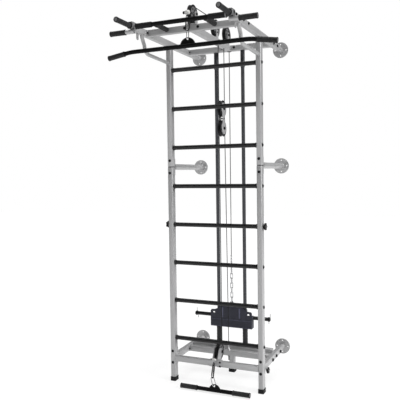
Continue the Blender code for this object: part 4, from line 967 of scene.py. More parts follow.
class GYM_OT_guides(GymOperator):
    """Build the guide rods and their stop sleeves"""
    bl_idname = "gym.guides"
    bl_label = "Guides"

    def build(self, context):
        for word, side in SIDES:
            place = Place((side * GUIDE_X, REAR_Y, 0), "z")
            low, high = (corner[2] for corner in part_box(f"{word}_guide_rod"))
            rod = [(0.0118, low), (0.0120, low + 0.0004), (0.0120, 2.0720), (0.0124, 2.0735),
                   (0.0142, 2.0765), (0.0145, 2.0780), (0.0145, high - 0.0004), (0.0142, high)]
            spun(f"{word}_guide_bar", rod, place, "guide", nodes=[f"{word}_guide_rod"])
            low, high = (corner[2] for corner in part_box(f"{word}_stop_sleeve"))
            spun(f"{word}_stop_tube", self.sleeve(low, high), place, "sleeve", nodes=[f"{word}_stop_sleeve"],
                 looped=True)

    def sleeve(self, low, high):
        """A lip on top, then a radius of 17.6 mm that swells by 0.4 mm as a cosine every 21.7 mm."""
        wave = np.linspace(high - 0.006, low + 0.006, 61)
        waves = np.column_stack((0.0176 + 0.0004 * np.cos((wave - low) * 2 * np.pi / 0.0217), wave))
        lip = [(0.0124, high), (0.0190, high), (0.0202, high - 0.0008), (0.0205, high - 0.0022),
               (0.0203, high - 0.0044), (0.0180, high - 0.0056)]
        foot = [(0.0178, low + 0.0030), (0.0172, low + 0.0010), (0.0162, low), (0.0124, low)]
        return lip + waves.tolist() + foot


class GYM_OT_wheels(GymOperator):
    """Build the six cable wheels, the floating block and the low bracket"""
    bl_idname = "gym.wheels"
    bl_label = "Wheels and block"

    def build(self, context):
        for node, centre, body in (("front_top_wheel", FRONT_WHEEL, "front_wheel"),
                                   ("rear_top_wheel_1", REAR_WHEEL_1, "rear_wheel_1"),
                                   ("rear_top_wheel_2", REAR_WHEEL_2, "rear_wheel_2"),
                                   ("block_upper_wheel", BLOCK_UPPER, "block_wheel_upper"),
                                   ("block_lower_wheel", BLOCK_LOWER, "block_wheel_lower"),
                                   ("low_wheel", LOW_WHEEL, "low_wheel")):
            self.wheel(node, centre, body)
        self.block()
        self.bracket()

    def wheel(self, node, centre, body):
        """Grooved rim and hub turned round the axle, and between them a web with six round holes."""
        place = Place(at(0, *centre), "x")
        rim = [(0.0415, 0.0060), (0.0428, 0.0103), (0.0434, 0.0110), (0.0528, 0.0110), (0.0537, 0.0106),
               (0.0541, 0.0098), (0.0537, 0.0090), (0.0478, 0.0040), (0.0466, 0.0028), (0.0462, 0.0014)]
        shape = Shape().turned(mirrored(rim), place, 72, looped=True)
        hub = [(0.0053, 0.0110), (0.0118, 0.0110), (0.0130, 0.0104), (0.0162, 0.0060)]
        shape.turned(mirrored(hub), place, 48, looped=True)
        piece(f"{node}_rim", shape, "wheel", body, [node])
        web_edge, web_root, web_half, hole_circle, hole = 0.0425, 0.0155, 0.0092, 0.0290, 0.0078
        cells = []
        for mid in range(0, 360, 60):
            outer = arc((0, 0), web_edge, mid - 30, mid + 30, 10)
            inner = arc((0, 0), web_root, mid + 30, mid - 30, 6)
            left = np.linspace(outer[-1], inner[0], 8)[1:-1]
            right = np.linspace(inner[-1], outer[0], 8)[1:-1]
            spot = hole_circle * np.array((math.cos(math.radians(mid)), math.sin(math.radians(mid))))
            cells.append((tuple(spot), hole, np.vstack((outer, left, inner, right))))
        edges = [circle(web_edge, 60, -np.pi / 6), circle(web_root, 36, -np.pi / 6)]
        # The grey web finish is a painted reflection on the wheel's side.
        piece(f"{node}_web", Shape().pierced(cells, edges, -web_half, web_half, place), "web", body)
        ring = [(0.0054, 0.0112), (0.0098, 0.0112), (0.0102, 0.0108), (0.0102, 0.0100), (0.0054, 0.0100)]
        bearing = Shape()
        for flip in (False, True):
            bearing.turned(ring, Place(at(0, *centre), "x", flip=flip), 32, looped=True)
        piece(f"{node}_bearing", bearing, "zinc", body)

    def block(self):
        """Two waisted plates: an arc round each axle, joined where the two circles cross."""
        upper, lower = np.array(BLOCK_UPPER), np.array(BLOCK_LOWER)
        centre = (upper + lower) / 2
        radius, waist, reach = 0.0385, 0.0175, 0.0560
        outline = np.vstack((arc(upper, radius, -47, 227, 56), upper - (waist, reach),
                             lower + (-waist, reach), arc(lower, radius, 133, 407, 56),
                             lower + (waist, reach), upper + (waist, -reach)))
        outline += (LADDER_Y, 0)
        inner, outer = 0.0125, 0.0155
        shape = Shape()
        plate_pair(shape, outline, inner, outer, Place((0, 0, 0), "x"), 0.0006)
        for axle, half, thick in ((upper, 0.0186, 0.0050), (lower, 0.0186, 0.0050), (centre, 0.0150, 0.0056)):
            shape.turned([(thick, -half), (thick, half)], Place(at(0, *axle), "x"), 24)
        piece("block_plates", shape, "silver", "block", ["pulley_block"])
        bolts = Shape()
        for axle in (upper, lower):
            axle_ends(bolts, outer, axle, 0.0100, 12)
        for side in (-1, 1):
            bolt(bolts, at(side * outer, *centre), "x", side < 0, 0.0060, "dome")
        piece("block_bolts", bolts, "bolt", "block")

    def bracket(self):
        """Side plates round the low wheel, with ears over and in front of the floor beam."""
        inner, outer, front, screw_heights = 0.0155, 0.0185, -0.0268, (0.1655, 0.1405)
        shape = Shape()
        corners = [(-0.026, 0.1723), (-0.026, 0.188), (-0.004, 0.232), (0.008, 0.2425), (0.026, 0.2445),
                   (0.046, 0.2360), (0.062, 0.2200), (0.063, 0.2060), (0.0300, 0.1723), (0.0028, 0.1560)]
        outline = softened(corners, 0.004) + (LADDER_Y, 0)
        plate_pair(shape, outline, inner, outer, Place((0, 0, 0), "x"), 0.0005)
        for x in (-0.0270, 0.0270):
            shape.prism(rounded(0.029, 0.0295, 0.002), 0.1723, 0.1753, Place(at(x, -0.012, 0), "z"), 0.0005)
            shape.prism(rounded(0.029, 0.042, 0.003), 0.0, 0.004, Place(at(x, front, 0.1543), "y"), 0.0006)
        spacer = [(0.0050, 0.0220), (0.0050, 0.0156), (0.0090, 0.0154), (0.0090, 0.0118), (0.0050, 0.0116)]
        shape.turned(mirrored(spacer), Place(at(0, *LOW_WHEEL), "x"), 24)
        piece("low_bracket_plates", shape, "silver", nodes=["low_pulley_bracket"])
        bolts = Shape()
        axle_ends(bolts, outer, LOW_WHEEL, 0.0100, 10)
        for height in screw_heights:
            bolt(bolts, at(0.0330, front, height), "y", True, 0.0062, "hex", 15)
        piece("low_bracket_bolts", bolts, "bolt")
        head = [(0.0048, 0.0), (0.0048, 0.0004), (0.0040, 0.0009), (0.0016, 0.0010), (0.0012, 0.0004)]
        screws = Shape()
        for height in screw_heights:
            screws.turned(head, Place(at(-0.0290, front, height), "y", flip=True), 20)
        piece("low_bracket_screws", screws, "zinc")


class GYM_OT_carriage(GymOperator):
    """Build the weight carriage, its horns and clips, and the chain"""
    bl_idname = "gym.carriage"
    bl_label = "Weight carriage"

    def build(self, context):
        self.carriage_body()
        self.trim()
        horns = Shape()
        horn = [(0.0120, 0.1140), (0.0125, 0.1145), (0.0125, 0.2712), (0.0120, 0.2724), (0.0108, 0.2730),
                (0.0060, 0.2730), (0.0050, 0.2722), (0.0010, 0.2722)]
        for side in (-1, 1):
            horns.turned(horn, Place((0, REAR_Y, HORN_Z), "x", flip=side < 0))
        piece("weight_horns", horns, "black", "carriage")
        for word, side in SIDES:
            piece(f"{word}_horn_clip", self.clip(side), "bolt", "carriage")
        path = np.vstack(([(-0.0095, 0.456)], arc((0, 0.4774), 0.0095, 180, 0, 24), [(0.0095, 0.456)]))
        path = np.column_stack((path[:, 0], np.full(len(path), REAR_Y), path[:, 1]))
        piece("lift_eye", Shape().swept(path, circle(0.003, 16), (0, 1, 0)), "carriage", "carriage")
        self.chain()

    def carriage_body(self):
        """Front plate with two drilled lugs, rear plate with low ones, two boxes and the horns' welds."""
        shape = Shape()
        middle_plate = [(-0.105, 0.3122), (0.105, 0.3122), (0.105, 0.4353), (0.100, 0.438), (0.080, 0.456),
                        (-0.080, 0.456), (-0.100, 0.438), (-0.105, 0.4353)]
        lug = [(0.105, 0.3122), (0.150, 0.3122), (0.150, 0.418), (0.1465, 0.4245), (0.143, 0.428),
               (0.118, 0.430), (0.105, 0.4353)]
        thick = 0.006
        for front in (-0.022, 0.016):
            place = Place((0, REAR_Y + front, 0), "y")
            shape.prism(np.array(middle_plate), 0.0, thick, place, 0.0009)
            for side in (-1, 1):
                if front > 0:
                    shape.prism(rounded(0.045, 0.0728, 0.002) + (side * 0.1275, 0.3486), 0.0, thick, place)
                    continue
                outline = np.array(lug if side > 0 else lug[::-1]) * (side, 1)
                hole = cell((side * 0.125, 0.4065), 0.0085, outline)
                shape.pierced([hole], hole[2], 0.0, thick, place, 3)
        box = Place((0, REAR_Y, 0), "z")
        shape.prism(rounded(0.300, 0.048, 0.006), 0.3120, 0.3677, box, 0.0030, 4)
        shape.prism(rounded(0.124, 0.041, 0.004), 0.360, 0.4690, box, 0.002)
        weld = [(0.0120, 0.1500), (0.0160, 0.1500), (0.0158, 0.1512), (0.0146, 0.1530), (0.0120, 0.1545)]
        for side in (-1, 1):
            shape.prism(rounded(0.012, 0.0415, 0.002), 0.370, 0.396, Place((side * 0.1445, REAR_Y, 0), "z"))
            shape.turned(weld, Place((0, REAR_Y, HORN_Z), "x", flip=side < 0), looped=True)
        boss = [(0.0100, 0.4500), (0.0130, 0.4510), (0.0130, 0.4605), (0.0122, 0.4620), (0.0040, 0.4620)]
        shape.turned(boss, Place((0, REAR_Y, 0), "z"))
        piece("carriage_body", shape, "carriage", "carriage", ["weight_carriage"])

    def trim(self):
        """Ribs on the plates, and lines along the long edges of the box, in a lighter paint that is a painted
        highlight.
        """
        ribs, bevel = Shape(), 0.0002
        for y, low, high in ((-0.0222, -0.0006, 0.0002), (0.0216, -0.0002, 0.0006)):
            for x in (-0.062, 0.062):
                place = Place((x, REAR_Y + y, 0.4120), "y")
                ribs.prism(rounded(0.010, 0.070, 0.0045), low, high, place, bevel)
        piece("carriage_ribs", ribs, "edge", "carriage")
        rims = Shape()
        for y in (-0.0242, 0.0236):
            for z in (0.3640, 0.3165):
                place = Place((0, REAR_Y + y, z), "y")
                rims.prism(rounded(0.284, 0.0024, 0.0010), 0.0, 0.0006, place, bevel)
        piece("carriage_highlight_rims", rims, "edge", "carriage")

    def clip(self, side):
        """Spring wire: three turns round the horn and, from their ends, one leg up and one leg down."""
        turn = np.linspace(0, 6 * np.pi, 91)
        start, pitch, radius = 0.2590, 0.0031, 0.0142
        coil = np.column_stack((start + pitch * turn / (2 * np.pi), radius * np.cos(turn),
                                radius * np.sin(turn)))
        legs = np.linspace(0.036, 0.003, 6)[:, None]
        first = np.column_stack((np.full(6, coil[0, 0]), np.full(6, radius), -legs))
        last = np.column_stack((np.full(6, coil[-1, 0]), np.full(6, radius), legs[::-1]))
        path = np.vstack((first, coil, last))
        path = np.column_stack((side * path[:, 0], path[:, 1] + REAR_Y, path[:, 2] + HORN_Z))
        return Shape().swept(path, circle(0.0016, 8), (1, 0, 0))

    def chain(self):
        """Seven links, every second one turned by a quarter; above them a ring and the cable's ferrule."""
        shape = Shape()
        links, top, pitch, half, wire, overlap = 7, 0.7137, 0.033, 0.0078, 0.0032, 0.0026
        reach = pitch / 2 + overlap - half
        loop = np.vstack((arc((0, reach), half, 0, 180, 18), arc((0, -reach), half, 180, 360, 18)))
        for number in range(links):
            u, v = loop[:, 0], loop[:, 1] + top - pitch * (links - number - 0.5)
            flat = np.zeros(len(loop))
            if number % 2:
                path, across = np.column_stack((u, flat + REAR_Y, v)), (0, 1, 0)
            else:
                path, across = np.column_stack((flat, REAR_Y + u, v)), (1, 0, 0)
            shape.swept(path, circle(wire, 14), across, looped=True)
        loop = arc((0, 0.727), 0.016, -90, 270, 40)[:-1]
        path = np.column_stack((np.zeros(len(loop)), REAR_Y + 0.62 * loop[:, 0], loop[:, 1]))
        shape.swept(path, circle(0.003, 14), (1, 0, 0), looped=True)
        ferrule = [(0.0028, 0.8100), (0.0040, 0.8099), (0.0048, 0.8085), (0.0055, 0.8060), (0.0055, 0.7900),
                   (0.0047, 0.7885), (0.0047, 0.7855), (0.0055, 0.7840), (0.0055, 0.7700), (0.0047, 0.7685),
                   (0.0047, 0.7655), (0.0055, 0.7640), (0.0055, 0.7450), (0.0040, 0.7412), (0.0020, 0.7410)]
        shape.turned(ferrule, Place((0, REAR_Y, 0), "z"), 28)
        piece("chain_links", shape, "chrome", "carriage", ["weight_chain"])


class GYM_OT_hand_bars(GymOperator):
    """Build both cable stops, hooks and hand bars"""
    bl_idname = "gym.hand_bars"
    bl_label = "Hand bars and hooks"

    def hang(self, top, bottom, angle):
        """Directions of a wire loop: up the hanging line, and across it at an angle from X."""
        up = (top - bottom) / np.linalg.norm(top - bottom)
        across = np.array((math.cos(math.radians(angle)), math.sin(math.radians(angle)), 0.0))
        across -= up * np.dot(across, up)
        across /= np.linalg.norm(across)
        return top, across, up

    def loop(self, axes, half, top, bottom, radius, squeeze=1.0):
        """A closed wire: a half circle above, a wider one below, and straight sides between them."""
        origin, across, up = axes
        curve = np.vstack((arc((0, top - half * squeeze), half * squeeze, 0, 180, 20),
                           arc((0, bottom + half), half, 180, 360, 20)))
        path = origin + curve[:, :1] * across + curve[:, 1:] * up
        return Shape().swept(path, circle(radius, 16), np.cross(across, up), looped=True)

    def build(self, context):
        shift = np.array((0, LADDER_Y, 0))
        low_length = float(np.linalg.norm(LOW_STOP - LOW_HOOK_END))
        for word, stop, end, angles, length in (
                ("lat", LAT_STOP, LAT_STOP - (0, 0, 1), (60, -32), LAT_HOOK_DROP),
                ("low", LOW_STOP, LOW_HOOK_END, (54, -54), low_length)):
            eye, hook = (self.hang(stop + shift, end + shift, angle) for angle in angles)
            self.stop(word, stop + shift, eye)
            self.hook(word, hook, -length)
        self.lat_bar(shift)
        self.low_bar(shift)

    def stop(self, word, centre, eye):
        """A barrel on the cable's end: a curved profile round the X axis, with a dark screw and an eye."""
        rise, radius, half, screw_end = {"lat": (0.0030, 0.0132, 0.0150, 0.0262),
                                         "low": (-LOW_STOP_DROP, 0.0074, 0.0138, 0.0172)}[word]
        shares = np.array([(0.26, -1.0), (0.57, -0.99), (0.74, -0.91), (0.85, -0.72), (0.93, -0.42),
                           (0.98, -0.08), (1.0, 0.22), (0.97, 0.52), (0.86, 0.76), (0.68, 0.93),
                           (0.45, 0.99), (0.26, 1.0)])
        place = Place(centre + (0, 0, rise), "x")
        node, body = f"{word}_cable_stop", f"{word}_stop"
        spun(f"{word}_stop_barrel", shares * (radius, half), place, "stop", body, [node])
        wide = radius * 0.60
        neck = [(wide * 0.5, -half * 0.9), (wide * 0.7, -half), (wide * 0.7, -half - 0.0030),
                (wide, -half - 0.0038), (wide, 0.0008 - screw_end), (wide * 0.85, -screw_end),
                (wide * 0.3, -screw_end)]
        spun(f"{word}_stop_screw", neck, place, "bolt", body, steps=24)
        ring = self.loop(eye, 0.0075, -0.0125, -0.0345, 0.0022)
        piece(f"{word}_stop_eye", ring, "bolt" if word == "lat" else "zinc", body)

    def hook(self, word, axes, bottom):
        """A snap hook: the bent body, and along one side its gate with a sleeve and a hinge pin."""
        shape = self.loop(axes, 0.0190, HOOK_TOP, bottom, 0.0040, 0.72)
        origin, across, up = axes
        facing = (across, np.cross(up, across), up)
        start, end = bottom + 0.028, HOOK_TOP - 0.026
        gate = [(0.0030, start - 0.0030), (0.0042, start - 0.0022), (0.0046, start), (0.0046, start + 0.006),
                (0.0050, start + 0.0065), (0.0050, end - 0.0065), (0.0046, end - 0.006), (0.0046, end),
                (0.0042, end + 0.0022), (0.0030, end + 0.0030)]
        shape.turned(gate, Place(origin + across * 0.0178, facing), 20)
        piece(f"{word}_hook_body", shape, "black", f"{word}_hook", [f"{word}_hook"])

    def disc(self, shape, centre, radius, hole, thick=0.006):
        """Half disc with a hole near its top, as one cell between the hole and the rim."""
        flat = np.column_stack((np.linspace(-radius, radius, 25)[1:-1], np.zeros(23)))
        rim = np.vstack((arc((0, 0), radius, 0, 180, 48), flat))
        shape.pierced([((0.0, hole), 0.006, rim)], rim, -thick / 2, thick / 2, Place(centre, "y"), 3)

    def lat_bar(self, shift):
        """Long bar: level in the middle, then a soft bend, then a straight slope down to each tip."""
        half, bend, drop, soft, hole = 0.5245, 0.372, 0.0235, 0.030, 0.0365
        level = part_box("lat_bar")[0][2] + drop + 0.0158
        x = np.concatenate((np.linspace(-half, -0.30, 31), np.linspace(-0.28, 0.28, 15),
                            np.linspace(0.30, half, 31)))
        over = np.clip((np.abs(x) - bend + soft) / (2 * soft), 0, 1)
        fall = soft * over ** 2 + np.maximum(np.abs(x) - bend - soft, 0)
        z = level - fall * drop / (half - bend)
        path = np.column_stack((x, np.full_like(x, LAT_Y), z))
        shape = Shape().swept(path, circle(0.0125, 32), (0, 1, 0))
        self.disc(shape, (0, LAT_Y, level), 0.047, hole)
        piece("lat_bar_tube", shape, "bar", "lat_bar", ["lat_bar"])
        slope = math.atan2(drop, half - bend)
        for word, side in SIDES:
            facing = ((0, 1, 0), (side * math.sin(slope), 0, math.cos(slope)),
                      (side * math.cos(slope), 0, -math.sin(slope)))
            root = side * (half - 0.112)
            place = Place((root, LAT_Y, np.interp(root, x, z)), facing)
            self.grip(f"{word}_lat_grip", place, 0.1135, "lat_bar")
        axes = self.hang(LAT_STOP + shift, LAT_STOP + shift - (0, 0, 1), 82)
        low = level + hole - 0.0048 - LAT_STOP[2]
        ring = self.loop(axes, 0.0105, -LAT_HOOK_DROP + 0.0094, low, 0.0025)
        piece("lat_bar_ring", ring, "chrome", "lat_bar")

    def grip(self, name, place, length, body):
        """Sleeve with a collar at its root and a closed rim at its tip, and a grey cap in the end."""
        sleeve = [(0.0122, 0.0), (0.0150, 0.0003), (0.0158, 0.0010), (0.0160, 0.0022), (0.0160, 0.0080),
                  (0.0150, 0.0095), (0.0149, 0.0110), (0.0149, length - 0.0090), (0.0152, length - 0.0078),
                  (0.0160, length - 0.0062), (0.0160, length - 0.0022), (0.0155, length - 0.0008),
                  (0.0140, length - 0.0002), (0.0100, length - 0.0002)]
        spun(name, sleeve, place, "ribbed", body)
        cap = [(0.0060, length - 0.0015), (0.0100, length - 0.0006), (0.0098, length + 0.0001),
               (0.0085, length + 0.0003), (0.0030, length + 0.0002)]
        spun(f"{name}_cap", cap, place, "cap", body, steps=24)

    def low_bar(self, shift):
        """Short straight bar with two grips, a half disc and the ring that hangs it on its hook."""
        centre, half, hole = LOW_CENTRE + shift, 0.232, 0.027
        profile = [(0.0120, -half), (0.0125, -half + 0.0005), (0.0125, half - 0.0005), (0.0120, half)]
        shape = Shape().turned(profile, Place(centre, "x"))
        self.disc(shape, centre, 0.038, hole)
        piece("low_bar_tube", shape, "bar", "low_bar", ["low_bar"])
        for word, side in SIDES:
            facing = ((0, 1, 0), (0, 0, 1), (side, 0, 0))
            place = Place(centre + (side * half * 0.51, 0, 0), facing)
            self.grip(f"{word}_low_grip", place, half * 0.492, "low_bar")
        end = centre + (0, 0, hole)
        axes = self.hang(LOW_HOOK_END + shift, end, 54)
        reach = float(np.linalg.norm(LOW_HOOK_END + shift - end))
        ring = self.loop(axes, 0.0125, 0.0095, -reach - 0.0040, 0.0025, 0.8)
        piece("low_bar_ring", ring, "chrome", "low_bar")


class GYM_OT_knobs(GymOperator):
    """Build the star knobs on the uprights"""
    bl_idname = "gym.knobs"
    bl_label = "Star knobs"

    def build(self, context):
        z = FIRST_RUNG_Z + 3 * RUNG_PITCH
        for word, side in SIDES:
            self.knob(f"{word}_star_knob", f"knob_{word}", at(side * 0.3188, 0, z), side, 1.0)
        self.knob("foot_star_knob", "frame", at(0.3176, 0.046, 0.1290), 1, 0.90)

    def knob(self, name, body, root, side, scale):
        """Star: radius 19.5 mm plus 3.5 mm times the cosine of five times the angle, with round edges."""
        angle = np.arange(120) * (2 * np.pi / 120)
        radius = (0.0195 + 0.0035 * np.cos(5 * angle)) * scale
        star = np.column_stack((radius * np.cos(angle), radius * np.sin(angle)))
        place = Place(root, "x", flip=side < 0)
        shape = Shape().prism(star, 0.0070 * scale, 0.0208 * scale, place, 0.0030, 5)
        hub = [(0.0070, 0.0), (0.0098, 0.0003), (0.0100, 0.0010), (0.0100, 0.0060), (0.0112, 0.0080)]
        shape.turned(np.array(hub) * scale, place, 28)
        nodes = [] if name.startswith("foot") else [name]
        piece(f"{name}_grip", shape, "wheel", body, nodes)
        insert = np.array([(0.0030, 0.0200), (0.0052, 0.0203), (0.0052, 0.0209), (0.0040, 0.0210),
                           (0.0010, 0.0206)]) * scale
        spun(f"{name}_insert", insert, place, "zinc", body, steps=20)


class GYM_OT_bolts(GymOperator):
    """Build the bolts and nuts of the frame"""
    bl_idname = "gym.bolts"
    bl_label = "Bolts"

    def build(self, context):
        self.ladder()
        self.rails()
        self.floor()

    def ladder(self):
        """A bolt at each rung's end but the fourth, which has the knob, and two pairs down each upright."""
        shape = Shape()
        for side in (-1, 1):
            for number in (0, 1, 2, 4, 5, 6, 7):
                z = FIRST_RUNG_Z + number * RUNG_PITCH
                bolt(shape, at(side * UPRIGHT_FACE, 0, z), "x", side < 0, 0.0105, "dome")
            for z in (1.455, 1.375, 0.2005, 0.1245):
                bolt(shape, at(side * UPRIGHT_X, -0.0230, z), "y", True, 0.0085, "dome")
                bolt(shape, at(side * UPRIGHT_X, 0.0283, z), "y", False, 0.0080, "nut")
        piece("ladder_bolts", shape, "bolt")

    def rails(self):
        """Bolts of the rails, the beams' end plates, the wheels' axles and the pull-up bar's blocks."""
        shape = Shape()
        for side in (-1, 1):
            outer, inner = side * RAIL_FACE, side * (UPRIGHT_X - 0.0185)
            for y, z in ((-0.4450, 2.2130), (-0.3256, 2.2125), (-0.2416, 2.2125), (0.2656, 2.205),
                         (0.3504, 2.205)):
                bolt(shape, at(outer, y, z), "x", side < 0, 0.0085, "hex", 20)
            for y in (-0.3300, 0.2690, 0.3150):
                bolt(shape, at(inner, y, RAIL_Z), "x", side > 0, 0.0062, "nut", 8)
            for y, back, kind in ((-0.3250, True, "hex"), (-0.2907, False, "nut"), (0.2727, True, "nut"),
                                  (0.3070, False, "hex")):
                bolt(shape, at(side * 0.0417, y, 2.2075), "y", back, 0.0080, kind, 5)
            x = side * (REAR_STRAP + STRAP_THICK)
            bolt(shape, at(x, REAR_WHEEL_1[0], 2.2590), "x", side < 0, 0.0050, "hex", 12)
            bolt(shape, at(side * 0.3200, PULL_Y, PULL_Z + BLOCK_RISE), "x", side < 0, 0.0080, "dome")
            bolt(shape, at(side * UPRIGHT_X, -0.3620, 2.2250), "z", False, 0.0080, "dome")
        for centre, strap in ((FRONT_WHEEL, FRONT_STRAP), (REAR_WHEEL_1, REAR_STRAP),
                              (REAR_WHEEL_2, REAR_STRAP)):
            axle_ends(shape, strap + STRAP_THICK, centre, 0.0085, 12)
        piece("rail_bolts", shape, "bolt")

    def floor(self):
        """Bolts of the floor arms, the rear floor beam and its guide base."""
        shape = Shape()
        for side in (-1, 1):
            for y, z in ((0.190, 0.150), (0.274, 0.152), (0.370, 0.152)):
                bolt(shape, at(side * RAIL_FACE, y, z), "x", side < 0, 0.0108, "hex", 20)
            for y in (0.2035, 0.2415):
                bolt(shape, at(side * 0.2842, y, FLOOR_BEAM_Z), "x", side > 0, 0.0055, "nut", 8)
            bolt(shape, at(side * GUIDE_X, REAR_BEAM_Y, 0.150), "z", True, 0.0085, "nut", 8)
            bolt(shape, at(side * 0.16, 0.257, 0.161), "z", False, 0.0070, "dome")
        piece("floor_bolts", shape, "bolt")


class GYM_OT_cables(GymOperator):
    """Build the cable's fixed turns and its straight strands"""
    bl_idname = "gym.cables"
    bl_label = "Cables"

    def tube(self, flat_path):
        """The cable's circle carried along a path in the middle plane."""
        flat_path = np.asarray(flat_path, float)
        path = np.column_stack((np.zeros(len(flat_path)), flat_path[:, 0] + LADDER_Y, flat_path[:, 1]))
        return Shape().swept(path, circle(CABLE_RADIUS, 14), (1, 0, 0))

    def turn(self, centre, start, end):
        """The cable's arc round a wheel, with a point every six degrees or so."""
        return arc(centre, CABLE_TURN, start, end, max(6, int(abs(end - start) / 6)))

    def strand(self, name, top, bottom, body, nodes=()):
        """A straight strand between a fixed point and a moving one; it stretches with the motion."""
        bends = (body, tuple(float(v) for v in at(0, *top)), tuple(float(v) for v in at(0, *bottom)))
        piece(name, self.tube([top, bottom]), "cable", "frame", nodes, bends=bends)

    def build(self, context):
        over = np.vstack((self.turn(FRONT_WHEEL, 180, 90), self.turn(REAR_WHEEL_1, 90, 0)))
        piece("top_cable", self.tube(over), "cable", nodes=["top_cable_run"])
        front = (FRONT_WHEEL[0] - CABLE_TURN, FRONT_WHEEL[1])
        self.strand("front_strand", front, (LAT_STOP[1], LAT_STOP[2]), "lat_stop")
        down_y, up_y = REAR_WHEEL_1[0] + CABLE_TURN, REAR_WHEEL_2[0] - CABLE_TURN
        self.strand("block_strand_down", (down_y, REAR_WHEEL_1[1]), (down_y, BLOCK_UPPER[1]), "block",
                    ["block_upper_loop"])
        piece("block_upper_turn", self.tube(self.turn(BLOCK_UPPER, 180, 360)), "cable", "block")
        self.strand("block_strand_up", (up_y, REAR_WHEEL_2[1]), (up_y, BLOCK_UPPER[1]), "block")
        piece("rear_turn", self.tube(self.turn(REAR_WHEEL_2, 180, 0)), "cable")
        rear_y = REAR_WHEEL_2[0] + CABLE_TURN
        self.strand("weight_cable", (rear_y, REAR_WHEEL_2[1]), (rear_y, 0.8098), "carriage",
                    ["weight_strand"])
        self.strand("lower_strand_front", (LOW_WHEEL[0] + CABLE_TURN, LOW_WHEEL[1]),
                    (BLOCK_LOWER[0] - CABLE_TURN, BLOCK_LOWER[1]), "block", ["block_lower_loop"])
        piece("block_lower_turn", self.tube(self.turn(BLOCK_LOWER, 180, 0)), "cable", "block")
        self.strand("lower_strand_rear", (ANCHOR_Y, 0.2040), (BLOCK_LOWER[0] + CABLE_TURN, BLOCK_LOWER[1]),
                    "block")
        wrap = self.turn(LOW_WHEEL, 0, -105)
        piece("low_cable", self.tube(wrap), "cable", nodes=["low_cable_wrap"])
        self.strand("low_strand", tuple(wrap[-1]), (LOW_STOP[1], LOW_STOP[2] - LOW_STOP_DROP), "low_stop")


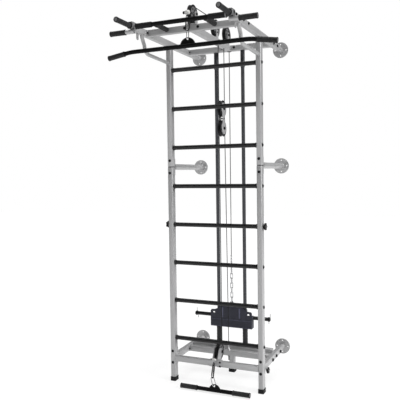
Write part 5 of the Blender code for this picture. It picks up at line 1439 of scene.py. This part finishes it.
class GYM_OT_stage(bpy.types.Operator):
    """Set up the floor, the lamps, the room light and the camera"""
    bl_idname = "gym.stage"
    bl_label = "Stage"

    def execute(self, context):
        stage = context.scene.gym_stage
        self.floor()
        self.room(stage.world)
        self.lamp("key_light", (4.3, -0.15, 2.0), 35, stage.key)
        self.lamp("top_light", (0.05, -0.05, 1.0), 50, stage.top)
        self.lamp("front_light", (-0.25, -0.97, 0.0), 14, stage.fill)
        self.camera(context.scene, stage.lens)
        context.scene.view_settings.view_transform = "Standard"
        return {"FINISHED"}

    def floor(self):
        """A flat square grid far wider than the view, just under the feet."""
        reach, count, level = 14, 9, -0.0006
        edge = np.linspace(-reach, reach, count)
        u, v = np.meshgrid(edge, edge, indexing="ij")
        points = np.stack((u, v, np.full_like(u, level)), -1).reshape(-1, 3)
        steps = np.arange(count - 1)
        row, column = (grid.ravel() for grid in np.meshgrid(steps, steps, indexing="ij"))
        corner = row * count + column
        quads = np.stack((corner, corner + count, corner + count + 1, corner + 1), 1)
        mesh = bpy.data.meshes.new("floor")
        mesh.from_pydata(points.tolist(), [], quads.tolist())
        item = bpy.data.objects.new("floor", mesh)
        COLLECTION.objects.link(item)
        finish = Finish("pale_floor")
        finish.done(Base_Color=(0.86, 0.86, 0.86, 1), Roughness=0.8)
        paths = finish.node("ShaderNodeLightPath")
        outputs = paths.socket.node.outputs
        seen = Socket(finish, outputs["Is Camera Ray"]) + Socket(finish, outputs["Is Glossy Ray"])
        glow = finish.node("ShaderNodeEmission", None, {"Color": (1, 1, 1, 1), "Strength": 1.12})
        share = (seen + Socket(finish, outputs["Is Transmission Ray"])) * 0.70
        painted_floor = Socket(finish, finish.shader.outputs[0])
        surface = finish.node("ShaderNodeMixShader", None, {0: share, 1: painted_floor, 2: glow})
        finish.feed(finish.tree.nodes["Material Output"].inputs["Surface"], surface)
        mesh.materials.append(finish.material)

    def room(self, strength):
        """Even grey light for the object, and plain white where the camera looks past it."""
        world = bpy.data.worlds.new("studio")
        bpy.context.scene.world = world
        world.use_nodes = True
        tree = world.node_tree
        back = tree.nodes["Background"]
        back.inputs["Color"].default_value = (1, 1, 1, 1)
        back.inputs["Strength"].default_value = strength
        white = tree.nodes.new("ShaderNodeBackground")
        white.inputs["Strength"].default_value = 1.0
        white.inputs["Color"].default_value = (1, 1, 1, 1)
        paths = tree.nodes.new("ShaderNodeLightPath")
        mix = tree.nodes.new("ShaderNodeMixShader")
        tree.links.new(paths.outputs["Is Camera Ray"], mix.inputs[0])
        tree.links.new(back.outputs[0], mix.inputs[1])
        tree.links.new(white.outputs[0], mix.inputs[2])
        tree.links.new(mix.outputs[0], tree.nodes["World Output"].inputs["Surface"])

    def lamp(self, name, away, spread, strength):
        """A light as wide as an angle, from one direction, so that near and far parts get the same."""
        data = bpy.data.lights.new(name, "SUN")
        data.energy = strength
        data.angle = math.radians(spread)
        lamp = bpy.data.objects.new(name, data)
        COLLECTION.objects.link(lamp)
        back = np.array(away, float) / np.linalg.norm(away)
        side = np.cross((0, 0, 1), back)
        side /= np.linalg.norm(side)
        self.aim(lamp, back * 4, side, np.cross(back, side), back)

    def aim(self, item, place, side, up, back):
        """Puts an object at a place, turned so that its three axes are side, up and back."""
        matrix = Matrix.Identity(4)
        for row in range(3):
            for column, axis in enumerate((side, up, back)):
                matrix[row][column] = float(axis[row])
            matrix[row][3] = float(place[row])
        item.matrix_world = matrix

    def camera(self, scene, lens):
        """The photograph's viewpoint: yaw, pitch and roll turned into the camera's three axes."""
        yaw, pitch, roll, viewpoint = 0.4124, 0.0472, -0.0135, at(1.3437, -3.3031, 1.370)
        level = math.cos(pitch)
        forward = np.array((-math.sin(yaw) * level, math.cos(yaw) * level, -math.sin(pitch)))
        side = np.array((math.cos(yaw), math.sin(yaw), 0.0))
        up = np.cross(side, forward)
        turned_side = side * math.cos(roll) + up * math.sin(roll)
        turned_up = up * math.cos(roll) - side * math.sin(roll)
        data = bpy.data.cameras.new("camera")
        data.lens = lens
        data.sensor_width = 36.0
        data.clip_end = 60.0
        camera = bpy.data.objects.new("camera", data)
        COLLECTION.objects.link(camera)
        self.aim(camera, viewpoint, turned_side, turned_up, -forward)
        scene.camera = camera


OPERATORS = [GYM_OT_ladder, GYM_OT_wall_frame, GYM_OT_pull_up_bar, GYM_OT_guides, GYM_OT_wheels,
             GYM_OT_carriage, GYM_OT_hand_bars, GYM_OT_knobs, GYM_OT_bolts, GYM_OT_cables, GYM_OT_stage]
GROUPS = {"gym_finishes": GYM_PG_finishes, "gym_details": GYM_PG_details, "gym_stage": GYM_PG_stage}


class GYM_PT_panel(bpy.types.Panel):
    """Sidebar panel that lists every operator and every setting"""
    bl_idname = "GYM_PT_panel"
    bl_label = "Multi gym"
    bl_space_type = "VIEW_3D"
    bl_region_type = "UI"
    bl_category = "Multi gym"

    def draw(self, context):
        for name, group in GROUPS.items():
            box = self.layout.box()
            for prop in group.__annotations__:
                box.prop(getattr(context.scene, name), prop)
        for operator in OPERATORS:
            self.layout.operator(operator.bl_idname)


def register():
    for item in (*GROUPS.values(), *OPERATORS, GYM_PT_panel):
        bpy.utils.register_class(item)
    for name, group in GROUPS.items():
        setattr(bpy.types.Scene, name, bpy.props.PointerProperty(type=group))


def unregister():
    for name in GROUPS:
        delattr(bpy.types.Scene, name)
    for item in (GYM_PT_panel, *reversed(OPERATORS), *GROUPS.values()):
        bpy.utils.unregister_class(item)


def main():
    register()
    for operator in OPERATORS:
        group, action = operator.bl_idname.split(".")
        getattr(getattr(bpy.ops, group), action)()


if __name__ == "__main__":
    main()
